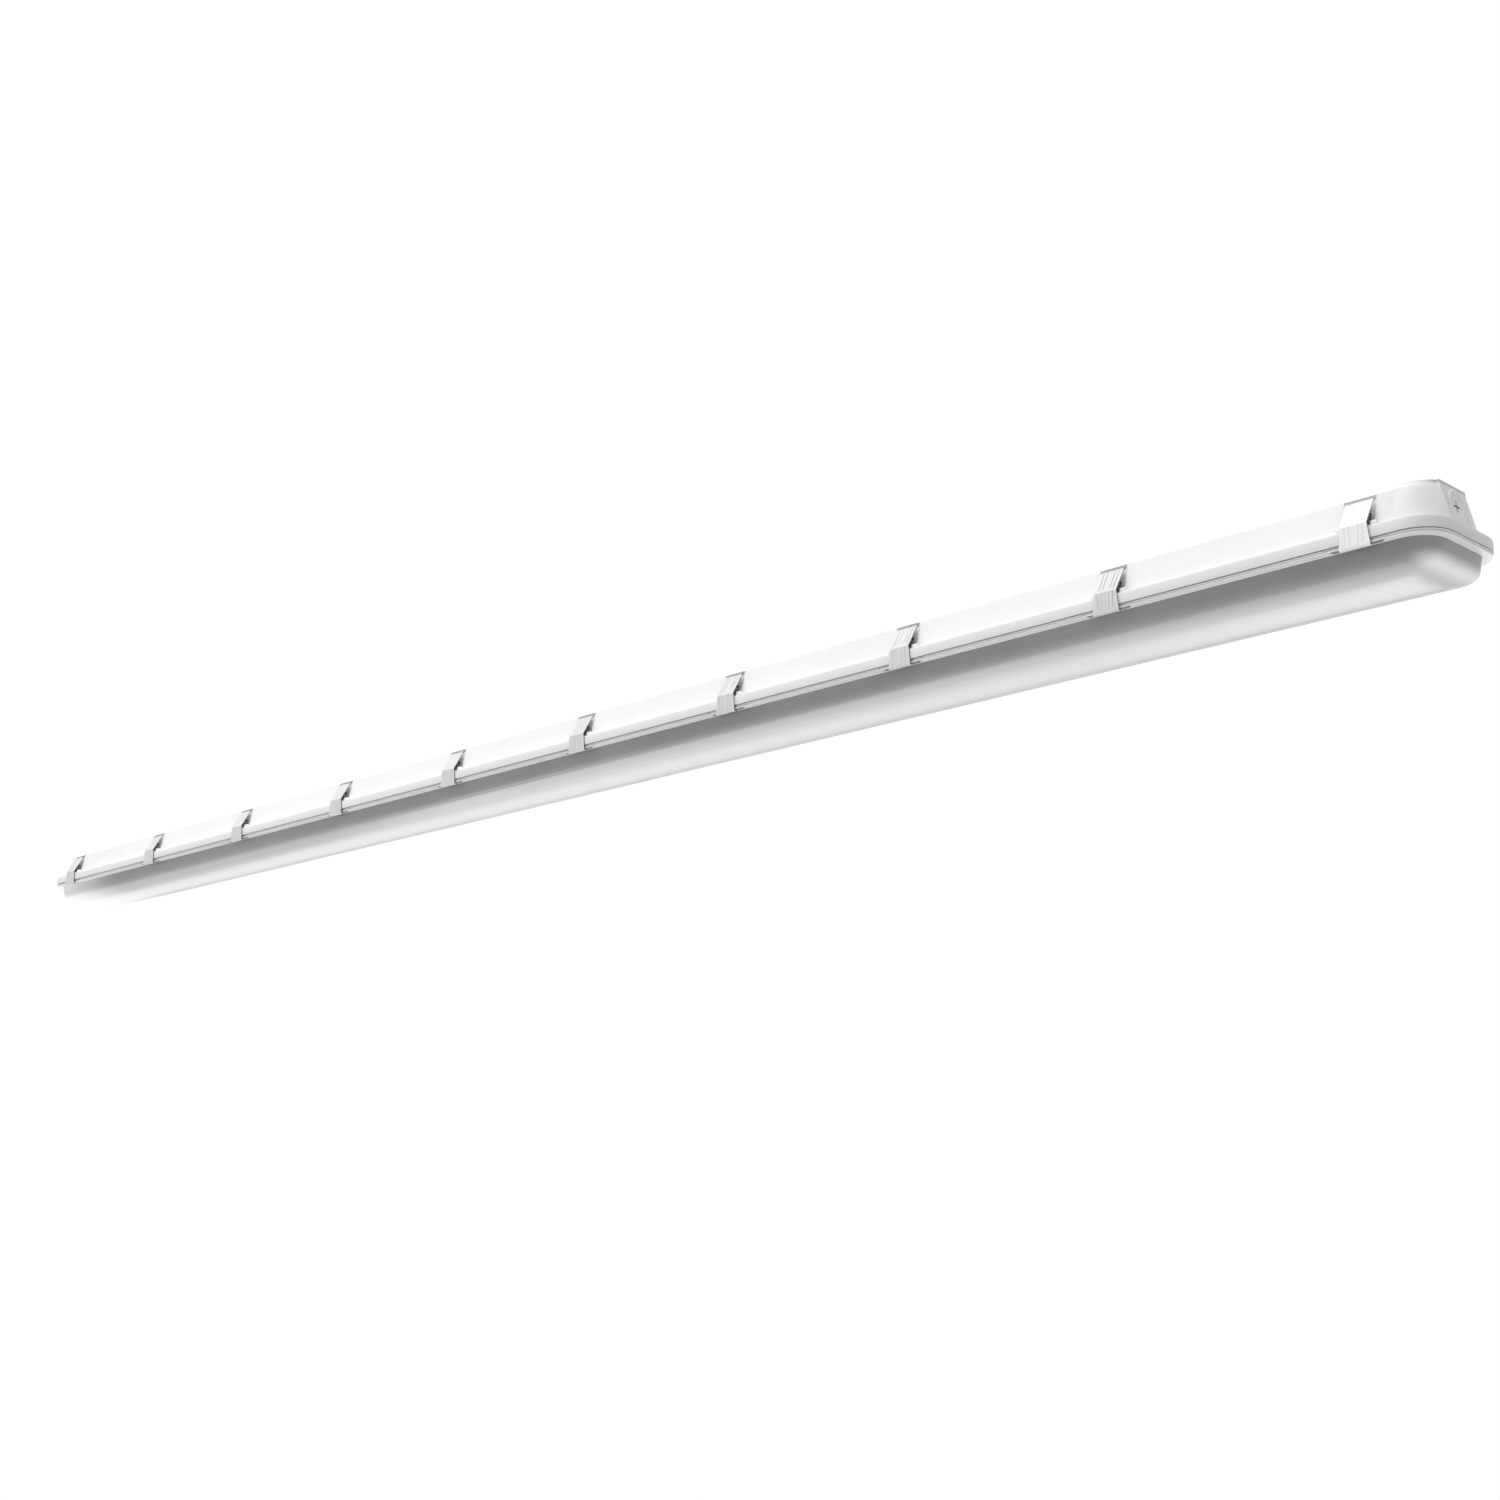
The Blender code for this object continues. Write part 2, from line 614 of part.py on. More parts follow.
def lever_path():
    """Inner face of the lever's sheet as (outward, up) points from hook to top lip."""
    plate = HALF_WIDTH + PLATE_GAP
    hook_z = FLANGE_BOTTOM_Z - CATCH_DROP - SEAT_GAP
    top = Vector((HALF_WIDTH - LEVER_TOP_INSET, LEDGE_Z + LEVER_RISE))
    return [
        Vector((plate - HOOK_REACH, hook_z)),
        Vector((plate, hook_z)),
        Vector((plate, LEDGE_Z + LEVER_BEND_HEIGHT)),
        top,
        top + Vector((LEVER_LIP_OUT, LEVER_LIP_UP)),
    ]


def build_lever(name, x, side, mat):
    """The latch's lever, its origin on the bail's top bar."""
    pivot = Vector(LEVER_PIVOT)
    inner = lever_path()
    outer = sheet_offsets(inner, PLATE)
    widths = (LEVER_HOOK_WIDTH, LEVER_FOOT_WIDTH, LEVER_NECK_WIDTH, LEVER_TOP_WIDTH,
              LEVER_TOP_WIDTH)

    def local(across, point):
        return Vector((across, side * (point.x - pivot.x), point.y - pivot.y))

    rings = []
    for a, b, width in zip(inner, outer, widths):
        half = width / 2
        rings.append([local(-half, a), local(half, a), local(half, b), local(-half, b)])
    lever = make_object(name, loft(rings), mat, (x, side * pivot.x, pivot.y))

    slope = (inner[3] - inner[2]).normalized()
    facing = Vector((slope.y, -slope.x))
    depth = (inner[2] - pivot).dot(facing) + PLATE / 2
    for ear_side in (-1, 1):
        ends = []
        for face in (-EAR_THICKNESS / 2, EAR_THICKNESS / 2):
            across = ear_side * EAR_SPACING / 2 + face
            ring = [pivot + facing * depth + slope * EAR_RADIUS,
                    pivot + facing * depth - slope * EAR_RADIUS]
            for step in range(EAR_SEGMENTS + 1):
                angle = math.pi * step / EAR_SEGMENTS
                ring.append(pivot - slope * EAR_RADIUS * math.cos(angle)
                            - facing * EAR_RADIUS * math.sin(angle))
            ends.append([local(across, point) for point in ring])
        apply_boolean(lever, loft(ends), "UNION")
    cuts = bmesh.new()
    reach = EAR_SPACING / 2 + EAR_THICKNESS + PIVOT_GAP
    add_cylinder(cuts, (-reach, 0, 0), (reach, 0, 0), WIRE_RADIUS + PIVOT_GAP, WIRE_SIDES)
    face = outer[1].x
    low = inner[1].y + GROOVE_END_MARGIN
    high = inner[2].y - GROOVE_TOP_MARGIN
    for pair in (-1, 1):
        for line in (-1, 1):
            middle = pair * GROOVE_PAIR_SPACING / 2 + line * GROOVE_SPACING / 2
            add_box(cuts, local(middle - GROOVE_WIDTH / 2, Vector((face - GROOVE_DEPTH, low))),
                    local(middle + GROOVE_WIDTH / 2, Vector((face + GROOVE_DEPTH, high))))
    apply_boolean(lever, cuts, "DIFFERENCE")
    dots = bmesh.new()
    for pair in (-1, 1):
        for line in (-1, 1):
            middle = pair * GROOVE_PAIR_SPACING / 2 + line * GROOVE_SPACING / 2
            add_cylinder(dots, local(middle, Vector((face - GROOVE_DEPTH, low))),
                         local(middle, Vector((face + GROOVE_DEPTH, low))),
                         DOT_RADIUS, DOT_SEGMENTS)
    apply_boolean(lever, dots, "DIFFERENCE")
    return lever


def build_bail(name, x, side, mat):
    """The latch's wire link, its origin on the lug's hole axis."""
    leg = LUG_INNER - BAIL_SIDE_GAP - WIRE_RADIUS
    end = LUG_INNER + BAIL_END
    top = Vector((side * (LEVER_PIVOT[0] - LUG_PIVOT[0]), LEVER_PIVOT[1] - LUG_PIVOT[1]))
    rise = top.length
    up = top.normalized()
    half = [(end, 0), (leg + WIRE_BEND, 0), (leg, WIRE_BEND), (leg, rise - WIRE_BEND),
            (leg - WIRE_BEND, rise)]
    path = [(-across, height) for across, height in half] + list(reversed(half))
    points = [Vector((across, up.x * height, up.y * height)) for across, height in path]
    side_axis = Vector((0, up.y, -up.x))
    rings = []
    for index, point in enumerate(points):
        before = (point - points[max(index - 1, 0)]).normalized()
        after = (points[min(index + 1, len(points) - 1)] - point).normalized()
        along = (before + after).normalized()
        across_axis = along.cross(side_axis)
        stretch = 1 / along.dot(after if after.length else before)
        ring = []
        for step in range(WIRE_SIDES):
            angle = 2 * math.pi * (step + 1 / 2) / WIRE_SIDES
            ring.append(point + side_axis * WIRE_RADIUS * math.sin(angle)
                        + across_axis * WIRE_RADIUS * stretch * math.cos(angle))
        rings.append(ring)
    return make_object(name, loft(rings), mat, (x, side * LUG_PIVOT[0], LUG_PIVOT[1]))


def build_latches(mat):
    """Model one lever and one bail for each side and copy them along the rim."""
    for side_name, side in (("front", -1), ("back", 1)):
        places = [(name, x) for name, x, place_side in latch_places() if place_side == side]
        first_name, first_x = places[0]
        lever = build_lever(f"lever_{first_name}", first_x, side, mat)
        bail = build_bail(f"bail_{first_name}", first_x, side, mat)
        for name, x in places[1:]:
            copy_object(lever, f"lever_{name}", (x, lever.location.y, lever.location.z))
            copy_object(bail, f"bail_{name}", (x, bail.location.y, bail.location.z))


def build_tray(mat):
    """Shallow steel channel with turned-up sides and holes for its screws."""
    side_z = TRAY_TOP_Z + TRAY_SIDE_HEIGHT
    inner = TRAY_HALF_WIDTH - TRAY_SHEET
    section = [(-TRAY_HALF_WIDTH, side_z), (-TRAY_HALF_WIDTH, TRAY_FACE_Z),
               (TRAY_HALF_WIDTH, TRAY_FACE_Z), (TRAY_HALF_WIDTH, side_z), (inner, side_z),
               (inner, TRAY_TOP_Z), (-inner, TRAY_TOP_Z), (-inner, side_z)]
    ends = [[Vector((x, y, z)) for y, z in section] for x in (-TRAY_HALF_LENGTH, TRAY_HALF_LENGTH)]
    tray = make_object("led_tray", loft(ends), mat)
    holes = bmesh.new()
    for x, y in boss_places() + driver_screw_places():
        add_cylinder(holes, (x, y, TRAY_FACE_Z - CUT_OVERRUN), (x, y, TRAY_TOP_Z + CUT_OVERRUN),
                     SCREW_RADIUS + PIVOT_GAP, SCREW_SEGMENTS)
    apply_boolean(tray, holes, "DIFFERENCE")
    return tray


def build_boards(mat):
    """Light boards in a row under the tray, each with two rows of light chips."""
    reach = TRAY_HALF_LENGTH - BOARD_END_MARGIN
    length = (2 * reach - (BOARD_COUNT - 1) * BOARD_GAP) / BOARD_COUNT
    top = TRAY_FACE_Z - SEAT_GAP
    face = top - BOARD_THICKNESS
    for index in range(BOARD_COUNT):
        start = -reach + index * (length + BOARD_GAP)
        bm = bmesh.new()
        add_box(bm, (start, -BOARD_WIDTH / 2, face), (start + length, BOARD_WIDTH / 2, top))
        board = make_object(f"led_board_{index + 1}", bm, mat)
        chips = bmesh.new()
        pitch = length / CHIPS_PER_ROW
        for chip in range(CHIPS_PER_ROW):
            for row in (-1, 1):
                x = start + (chip + 1 / 2) * pitch
                y = row * CHIP_ROW_SPACING / 2
                add_box(chips, (x - CHIP_SIZE / 2, y - CHIP_SIZE / 2, face - CHIP_HEIGHT),
                        (x + CHIP_SIZE / 2, y + CHIP_SIZE / 2, face + BOND))
        apply_boolean(board, chips, "UNION")


def build_driver(mat):
    """Driver case with a screw tab on each end."""
    bm = bmesh.new()
    add_box(bm, (DRIVER_X - DRIVER_LENGTH / 2, -DRIVER_WIDTH / 2, SHELF_Z),
            (DRIVER_X + DRIVER_LENGTH / 2, DRIVER_WIDTH / 2, SHELF_Z + DRIVER_HEIGHT))
    driver = make_object("led_driver", bm, mat)
    tabs = bmesh.new()
    reach = DRIVER_LENGTH / 2 + DRIVER_TAB
    add_box(tabs, (DRIVER_X - reach, -DRIVER_WIDTH / 2, SHELF_Z),
            (DRIVER_X + reach, DRIVER_WIDTH / 2, SHELF_Z + DRIVER_TAB_THICKNESS))
    apply_boolean(driver, tabs, "UNION")
    holes = bmesh.new()
    for x, y in driver_screw_places():
        add_cylinder(holes, (x, y, SHELF_Z - CUT_OVERRUN),
                     (x, y, SHELF_Z + DRIVER_TAB_THICKNESS + CUT_OVERRUN),
                     SCREW_RADIUS + PIVOT_GAP, SCREW_SEGMENTS)
    apply_boolean(driver, holes, "DIFFERENCE")
    return driver


def build_terminal(mat):
    """Terminal block with a wire port on each side of every way."""
    x = TRAY_HALF_LENGTH - TERMINAL_END_MARGIN
    bm = bmesh.new()
    add_box(bm, (x - TERMINAL_LENGTH / 2, -TERMINAL_WIDTH / 2, SHELF_Z),
            (x + TERMINAL_LENGTH / 2, TERMINAL_WIDTH / 2, SHELF_Z + TERMINAL_HEIGHT))
    terminal = make_object("terminal_block", bm, mat)
    ports = bmesh.new()
    half = TERMINAL_PORT / 2
    port_z = SHELF_Z + TERMINAL_HEIGHT / 2
    for way in range(TERMINAL_WAYS):
        y = (way - (TERMINAL_WAYS - 1) / 2) * TERMINAL_WIDTH / TERMINAL_WAYS
        for end in (-1, 1):
            face = x + end * TERMINAL_LENGTH / 2
            add_box(ports, (face - end * TERMINAL_PORT_DEPTH, y - half, port_z - half),
                    (face + end * CUT_OVERRUN, y + half, port_z + half))
    apply_boolean(terminal, ports, "DIFFERENCE")
    return terminal


def build_screw(name, place, shank, up, mat):
    """Slotted pan screw; the head sits below its seat, or above it when up is -1."""
    x, y, seat = place
    bm = bmesh.new()
    add_cylinder(bm, (x, y, seat - up * SCREW_HEAD_HEIGHT), (x, y, seat),
                 SCREW_HEAD_RADIUS, SCREW_SEGMENTS)
    screw = make_object(name, bm, mat)
    body = bmesh.new()
    add_cylinder(body, (x, y, seat - up * BOND), (x, y, seat + up * shank),
                 SCREW_RADIUS, SCREW_SEGMENTS)
    apply_boolean(screw, body, "UNION")
    slot = bmesh.new()
    head = seat - up * SCREW_HEAD_HEIGHT
    add_box(slot, (x - SCREW_HEAD_RADIUS - CUT_OVERRUN, y - SCREW_SLOT_WIDTH / 2,
                   head + up * SCREW_SLOT_DEPTH),
            (x + SCREW_HEAD_RADIUS + CUT_OVERRUN, y + SCREW_SLOT_WIDTH / 2,
             head - up * CUT_OVERRUN))
    apply_boolean(screw, slot, "DIFFERENCE")
    return screw


def build_screws(mat):
    for index, (x, y) in enumerate(boss_places()):
        build_screw(f"tray_screw_{index + 1}", (x, y, TRAY_FACE_Z - SEAT_GAP),
                    SCREW_SHANK, 1, mat)
    seat = SHELF_Z + DRIVER_TAB_THICKNESS + SEAT_GAP
    for index, (x, y) in enumerate(driver_screw_places()):
        build_screw(f"driver_screw_{index + 1}", (x, y, seat), DRIVER_SCREW_SHANK, -1, mat)


def main():
    clear_scene()
    build_housing(material("housing_white", (0.80, 0.80, 0.80), 0.45))
    build_seal(material("seal_rubber", (0.05, 0.05, 0.05), 0.8))
    build_diffuser(material("diffuser_frosted", (0.85, 0.85, 0.85), 0.5, transmission=0.4))
    build_latches(material("latch_stainless", (0.60, 0.60, 0.59), 0.35, metallic=1.0))
    build_tray(material("tray_white", (0.78, 0.78, 0.78), 0.5))
    build_boards(material("board_white", (0.75, 0.76, 0.76), 0.6))
    build_driver(material("driver_case", (0.70, 0.70, 0.70), 0.4, metallic=0.6))
    build_terminal(material("terminal_plastic", (0.70, 0.70, 0.68), 0.5))
    build_screws(material("screw_steel", (0.62, 0.62, 0.62), 0.35, metallic=1.0))


main()
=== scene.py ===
# %% [markdown]
# # Vapor tight light fixture
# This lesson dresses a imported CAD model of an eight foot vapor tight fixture, seen from below.
# The model is the frame: it fixes every size, place and joint, and nothing here changes them.
# What the lesson adds is how the fixture looks: soft moulded edges, pressed steel latches, bent
# wire, a frosted cover, and the studio that they are photographed in.
#
# Everything is in metres, in the model's own frame: +X runs along the fixture, +Z is up, and the
# origin is the middle of the housing's flat top.

# %% Load the frame
import json
import math

import bmesh
import bpy
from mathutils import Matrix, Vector

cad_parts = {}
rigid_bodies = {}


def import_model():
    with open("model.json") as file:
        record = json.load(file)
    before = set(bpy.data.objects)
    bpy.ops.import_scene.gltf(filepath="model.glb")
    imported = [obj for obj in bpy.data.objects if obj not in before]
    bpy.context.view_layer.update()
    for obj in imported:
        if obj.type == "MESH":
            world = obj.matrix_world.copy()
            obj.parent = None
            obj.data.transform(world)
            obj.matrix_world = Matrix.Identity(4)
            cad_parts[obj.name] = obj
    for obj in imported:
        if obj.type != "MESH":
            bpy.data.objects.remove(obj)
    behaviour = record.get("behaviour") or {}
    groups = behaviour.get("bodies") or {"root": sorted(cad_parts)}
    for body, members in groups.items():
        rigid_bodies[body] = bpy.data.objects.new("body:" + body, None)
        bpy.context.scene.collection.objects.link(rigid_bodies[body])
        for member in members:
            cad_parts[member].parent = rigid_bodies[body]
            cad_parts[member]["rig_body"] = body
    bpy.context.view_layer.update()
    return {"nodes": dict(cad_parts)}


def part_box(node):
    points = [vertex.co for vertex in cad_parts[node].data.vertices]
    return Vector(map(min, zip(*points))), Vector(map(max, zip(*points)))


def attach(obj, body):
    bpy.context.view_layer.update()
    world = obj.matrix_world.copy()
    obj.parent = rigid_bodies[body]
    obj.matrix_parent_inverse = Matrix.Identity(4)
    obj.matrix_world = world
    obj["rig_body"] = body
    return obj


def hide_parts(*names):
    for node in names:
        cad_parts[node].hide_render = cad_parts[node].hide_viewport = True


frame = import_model()
nodes = frame["nodes"]
scene = bpy.context.scene
scene.view_settings.view_transform = "Standard"

# %% [markdown]
# ## Camera
# The picture was taken from low down, near the +X end, along the fixture. The place, turn and
# lens were worked out from the long lines, the ten latch gaps and both ends in the picture. A
# camera could also be placed by eye, but then the latches would not fall where they do.

# %% Camera
CAMERA_PLACE = (1.91245, -1.54703, -0.62103)
CAMERA_YAW = math.radians(45.3472)
CAMERA_PITCH = math.radians(13.7415)
CAMERA_LENS_MM = 49.0
CAMERA_SENSOR_MM = 36.0


def make_camera():
    camera = bpy.data.objects.new("camera", bpy.data.cameras.new("camera"))
    camera.data.lens = CAMERA_LENS_MM
    camera.data.sensor_width = CAMERA_SENSOR_MM
    camera.data.clip_start = 0.01
    camera.location = CAMERA_PLACE
    camera.rotation_euler = (math.pi / 2 + CAMERA_PITCH, 0.0, CAMERA_YAW)
    scene.collection.objects.link(camera)
    scene.camera = camera


make_camera()
print("camera", CAMERA_PLACE, "lens", CAMERA_LENS_MM)

# %% [markdown]
# ## Small helpers for node trees
# Materials and Geometry Nodes are both trees of nodes. A few short functions keep the cells that
# follow about plastic, steel and rubber, and not about sockets. A noise lies mostly between 0.3
# and 0.7, so the two ends of a range around its middle say how much of a surface it covers.

# %% Node helpers


def add_node(tree, kind, **settings):
    made = tree.nodes.new(kind)
    for key, value in settings.items():
        setattr(made, key, value)
    return made


def put(tree, socket, value):
    """Link a socket to the input, or write a plain value on it."""
    if isinstance(value, bpy.types.NodeSocket):
        tree.links.new(value, socket)
    else:
        socket.default_value = value


def add_math(tree, operation, first, second=0.0):
    made = add_node(tree, "ShaderNodeMath", operation=operation)
    put(tree, made.inputs[0], first)
    put(tree, made.inputs[1], second)
    return made.outputs["Value"]


def add_range(tree, value, low, high, to_low=0.0, to_high=1.0, smooth=False):
    """The value from low to high, carried over to to_low to to_high."""
    kind = "SMOOTHSTEP" if smooth else "LINEAR"
    made = add_node(tree, "ShaderNodeMapRange", interpolation_type=kind)
    for label, number in (("Value", value), ("From Min", low), ("From Max", high),
                          ("To Min", to_low), ("To Max", to_high)):
        put(tree, made.inputs[label], number)
    return made.outputs["Result"]


def add_mix(tree, factor, first, second):
    """Mix of two colours, each a socket or a plain value."""
    mix = add_node(tree, "ShaderNodeMix", data_type="RGBA")
    put(tree, mix.inputs["Factor"], factor)
    for label, value in (("A", first), ("B", second)):
        put(tree, next(s for s in mix.inputs if s.name == label and s.type == "RGBA"), value)
    return next(s for s in mix.outputs if s.type == "RGBA")


def add_noise(tree, vector, scale, detail=3.0, roughness=0.5):
    noise = add_node(tree, "ShaderNodeTexNoise")
    for label, value in (("Vector", vector), ("Scale", scale), ("Detail", detail),
                         ("Roughness", roughness)):
        put(tree, noise.inputs[label], value)
    return noise.outputs["Fac"]


def add_stretch(tree, vector, scale):
    """The same place, stretched along the axes whose scale is small."""
    mapping = add_node(tree, "ShaderNodeMapping")
    put(tree, mapping.inputs["Vector"], vector)
    mapping.inputs["Scale"].default_value = scale
    return mapping.outputs["Vector"]


def add_bump(tree, height, strength, distance, normal=None):
    bump = add_node(tree, "ShaderNodeBump")
    bump.inputs["Strength"].default_value = strength
    bump.inputs["Distance"].default_value = distance
    put(tree, bump.inputs["Height"], height)
    if normal is not None:
        put(tree, bump.inputs["Normal"], normal)
    return bump.outputs["Normal"]


def add_place(tree):
    """The point's own place on the object, whole and split into X, Y and Z."""
    place = add_node(tree, "ShaderNodeTexCoord").outputs["Object"]
    split = add_node(tree, "ShaderNodeSeparateXYZ")
    put(tree, split.inputs["Vector"], place)
    return place, split.outputs


def new_group(name, inputs):
    """Shader node group with named inputs that puts out a colour, a roughness and a normal."""
    tree = bpy.data.node_groups.new(name, "ShaderNodeTree")
    for label, kind, default in inputs:
        socket = tree.interface.new_socket(label, in_out="INPUT", socket_type=kind)
        socket.default_value = default
    for label, kind in (("Color", "NodeSocketColor"), ("Roughness", "NodeSocketFloat"),
                        ("Normal", "NodeSocketVector")):
        tree.interface.new_socket(label, in_out="OUTPUT", socket_type=kind)
    return tree, add_node(tree, "NodeGroupInput").outputs, add_node(tree, "NodeGroupOutput").inputs


def grey(value):
    return (value, value, value, 1.0)


print("node helpers; a grey is", grey(0.8))

# %% [markdown]
# ## Moulded plastic, as a shared group
# The housing, the terminal block and the rubber seal are moulded, and the tray and boards are
# coated. Such surfaces have a fine grain from the tool or the coat, slow cloudiness from uneven
# cooling, and faint flow lines along the length. Two more things are painted shade, for the
# housing only: below a foot level, at its rim, the white is a little greyer, and the top few
# millimetres of its roof, where no other piece reaches, darken in cloudy patches. One group with
# its own values in each material serves them all. A flat colour would look like paper under the
# soft light.

# %% Moulded group
CLOUD_SCALE = 11.0
CLOUD_SHARE = 0.45
FLOW_SCALE = 130.0
FLOW_STRETCH = (0.04, 1.0, 1.0)
FLOW_SHARE = 0.18
FLOW_BUMP = (0.10, 0.0002)
GRAIN_BUMP = (0.14, 0.0001)
NO_FOOT = -1.0
FOOT_FADE = 0.006
PAINTED_ROOF_SHADE = grey(0.50)
PAINTED_ROOF_SHADE_LEVELS = (-0.0050, -0.0012)
PAINTED_ROOF_SHADE_SHARES = (0.7, 1.0)


def moulded_group():
    tree, given, out = new_group("moulded surface", [
        ("Base", "NodeSocketColor", grey(0.8)),
        ("Shade", "NodeSocketColor", grey(0.7)),
        ("Foot", "NodeSocketColor", grey(0.7)),
        ("Foot Level", "NodeSocketFloat", NO_FOOT),
        ("Grain Scale", "NodeSocketFloat", 900.0),
        ("Roughness", "NodeSocketFloat", 0.4)])
    place, axis = add_place(tree)
    cloud = add_noise(tree, place, CLOUD_SCALE, 4.0, 0.55)
    flow = add_noise(tree, add_stretch(tree, place, FLOW_STRETCH), FLOW_SCALE, 2.0)
    grain = add_noise(tree, place, given["Grain Scale"], 2.0)
    patchy = add_math(tree, "ADD", add_range(tree, cloud, 0.35, 0.75, 0.0, CLOUD_SHARE),
                      add_range(tree, flow, 0.40, 0.80, 0.0, FLOW_SHARE))
    # Painted shade: below the foot level, the rim's white mixes towards the greyer Foot colour.
    above = add_math(tree, "SUBTRACT", axis["Z"], given["Foot Level"])
    body = add_mix(tree, add_range(tree, above, 0.0, FOOT_FADE, smooth=True), given["Foot"],
                   given["Base"])
    body = add_mix(tree, patchy, body, given["Shade"])
    # Painted shade: the top few millimetres of the roof darken in cloudy patches.
    roof_painted_shade = add_math(tree, "MULTIPLY", add_range(tree, axis["Z"], *PAINTED_ROOF_SHADE_LEVELS, smooth=True),
                     add_range(tree, cloud, 0.25, 0.65, *PAINTED_ROOF_SHADE_SHARES))
    put(tree, out["Color"], add_mix(tree, roof_painted_shade, body, PAINTED_ROOF_SHADE))
    put(tree, out["Roughness"], add_math(tree, "ADD", given["Roughness"],
                                         add_range(tree, cloud, 0.3, 0.7, -0.05, 0.06)))
    soft = add_bump(tree, flow, *FLOW_BUMP)
    put(tree, out["Normal"], add_bump(tree, grain, *GRAIN_BUMP, soft))
    return tree


MOULDED = moulded_group()
print("group", MOULDED.name, len(MOULDED.nodes), "nodes")

# %% [markdown]
# ## Frosted cover, as a group
# The diffuser is one frosted moulding. Its flange is thick and looks white. Its thin side wall is
# grey with painted shade, and its crown gets paler towards the middle with painted light. Real
# glass nodes would show a dark empty case, since the lamps inside are off, so this painted shade
# and light is written as a colour ramp over the height instead. Both ends are paler, the crown
# gets paler towards them, and the far stretch fades to white, all painted light. The upper edge of
# the flange is darker, painted shade in the seam below the rim. The extrusion-like lines come from
# a noise that is stretched along the length.

# %% Frosted group
COVER_TOP_Z = -0.0551
COVER_MIDDLE_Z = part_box("diffuser")[0][2]
COVER_RAMP = ((0.00, 0.250), (0.35, 0.285), (0.60, 0.320), (0.76, 0.365), (0.82, 0.375),
              (0.90, 0.400), (0.94, 0.460), (0.975, 0.590), (1.00, 0.720))
FLANGE_LEVELS = (COVER_TOP_Z - 0.0003, COVER_TOP_Z + 0.0001)
SEAM_LEVELS = (-0.0521, -0.0516)
SEAM_PAINTED_SHADE = grey(0.22)
END_GLOW_REACH = (1.160, 1.186)
END_GLOW_DEPTH = (0.30, 0.75)
END_GLOW_LEAST = 0.05
FAR_GLOW_REACH = (-0.98, -1.17)
CROWN_GLOW_REACH = (0.80, 1.16)
CROWN_GLOW_DEPTH = (0.93, 1.0)
CROWN_GLOW_SHARE = 0.4
HAZE = grey(0.85)
HAZE_SCALE = 7.0
HAZE_SHARE = 0.08
LINE_STRETCH = (0.015, 1.0, 1.0)
LINE_BUMP = (0.12, 0.0002)
FROST_SCALE = 2600.0
FROST_BUMP = (0.10, 0.00005)


def add_ramp(tree, factor, stops):
    """Grey ramp through (place, grey) stops."""
    ramp = add_node(tree, "ShaderNodeValToRGB")
    while len(ramp.color_ramp.elements) < len(stops):
        ramp.color_ramp.elements.new(0.5)
    for element, (place, shade) in zip(ramp.color_ramp.elements, stops):
        element.position = place
        element.color = grey(shade)
    put(tree, ramp.inputs["Fac"], factor)
    return ramp.outputs["Color"]


def frosted_group():
    tree, given, out = new_group("frosted cover", [
        ("Flange", "NodeSocketColor", grey(0.8)),
        ("End", "NodeSocketColor", grey(0.7)),
        ("Line Scale", "NodeSocketFloat", 180.0),
        ("Roughness", "NodeSocketFloat", 0.3)])
    place, axis = add_place(tree)
    depth = add_range(tree, axis["Z"], COVER_TOP_Z, COVER_MIDDLE_Z)
    # Painted shade and light: by height, the side wall is darker and the crown paler.
    body = add_ramp(tree, depth, COVER_RAMP)
    reach = add_math(tree, "ABSOLUTE", axis["X"])
    # Painted light: both ends of the cover are paler, less so high on the wall.
    glow = add_range(tree, reach, *END_GLOW_REACH, smooth=True)
    low = add_range(tree, depth, *END_GLOW_DEPTH, END_GLOW_LEAST, 1.0, smooth=True)
    body = add_mix(tree, add_math(tree, "MULTIPLY", glow, low), body, given["End"])
    # Painted light: the far stretch fades to white.
    far = add_range(tree, axis["X"], *FAR_GLOW_REACH, smooth=True)
    body = add_mix(tree, far, body, given["End"])
    # Painted light: the crown is paler towards both ends.
    crown = add_math(tree, "MULTIPLY",
                     add_range(tree, reach, *CROWN_GLOW_REACH, 0.0, CROWN_GLOW_SHARE),
                     add_range(tree, depth, *CROWN_GLOW_DEPTH))
    body = add_mix(tree, crown, body, given["End"])
    haze = add_noise(tree, place, HAZE_SCALE, 3.0)
    body = add_mix(tree, add_range(tree, haze, 0.35, 0.65, 0.0, HAZE_SHARE), body, HAZE)
    above = add_range(tree, axis["Z"], *FLANGE_LEVELS, smooth=True)
    body = add_mix(tree, above, body, given["Flange"])
    # Painted shade in the seam below the rim, on the upper edge of the flange.
    seam = add_range(tree, axis["Z"], *SEAM_LEVELS, smooth=True)
    put(tree, out["Color"], add_mix(tree, seam, body, SEAM_PAINTED_SHADE))
    lines = add_noise(tree, add_stretch(tree, place, LINE_STRETCH), given["Line Scale"], 2.0)
    frost = add_noise(tree, place, FROST_SCALE, 2.0)
    put(tree, out["Roughness"], add_math(tree, "ADD", given["Roughness"],
                                         add_range(tree, lines, 0.3, 0.7, -0.06, 0.08)))
    soft = add_bump(tree, lines, *LINE_BUMP)
    put(tree, out["Normal"], add_bump(tree, frost, *FROST_BUMP, soft))
    return tree


FROSTED = frosted_group()
print("group", FROSTED.name, "ramp stops", len(COVER_RAMP))

# %% [markdown]
# ## Brushed steel, as a group
# Latches are cut and folded from a coil of stainless sheet, whose rolled grain runs up the
# sheet. The group stretches a noise along the grain for the colour, the gloss and a very fine
# bump, and adds slow smudges from hands. An anisotropic shader could do the same from afar, but
# the streaks would not be there close up.

# %% Brushed group
ROLLED_STRETCH = (1.0, 0.05, 0.05)
ROLLED_BUMP = (0.08, 0.0001)
BROAD_SCALE = 420.0
STREAK_SHARE = 0.35
SMUDGE_SCALE = 70.0


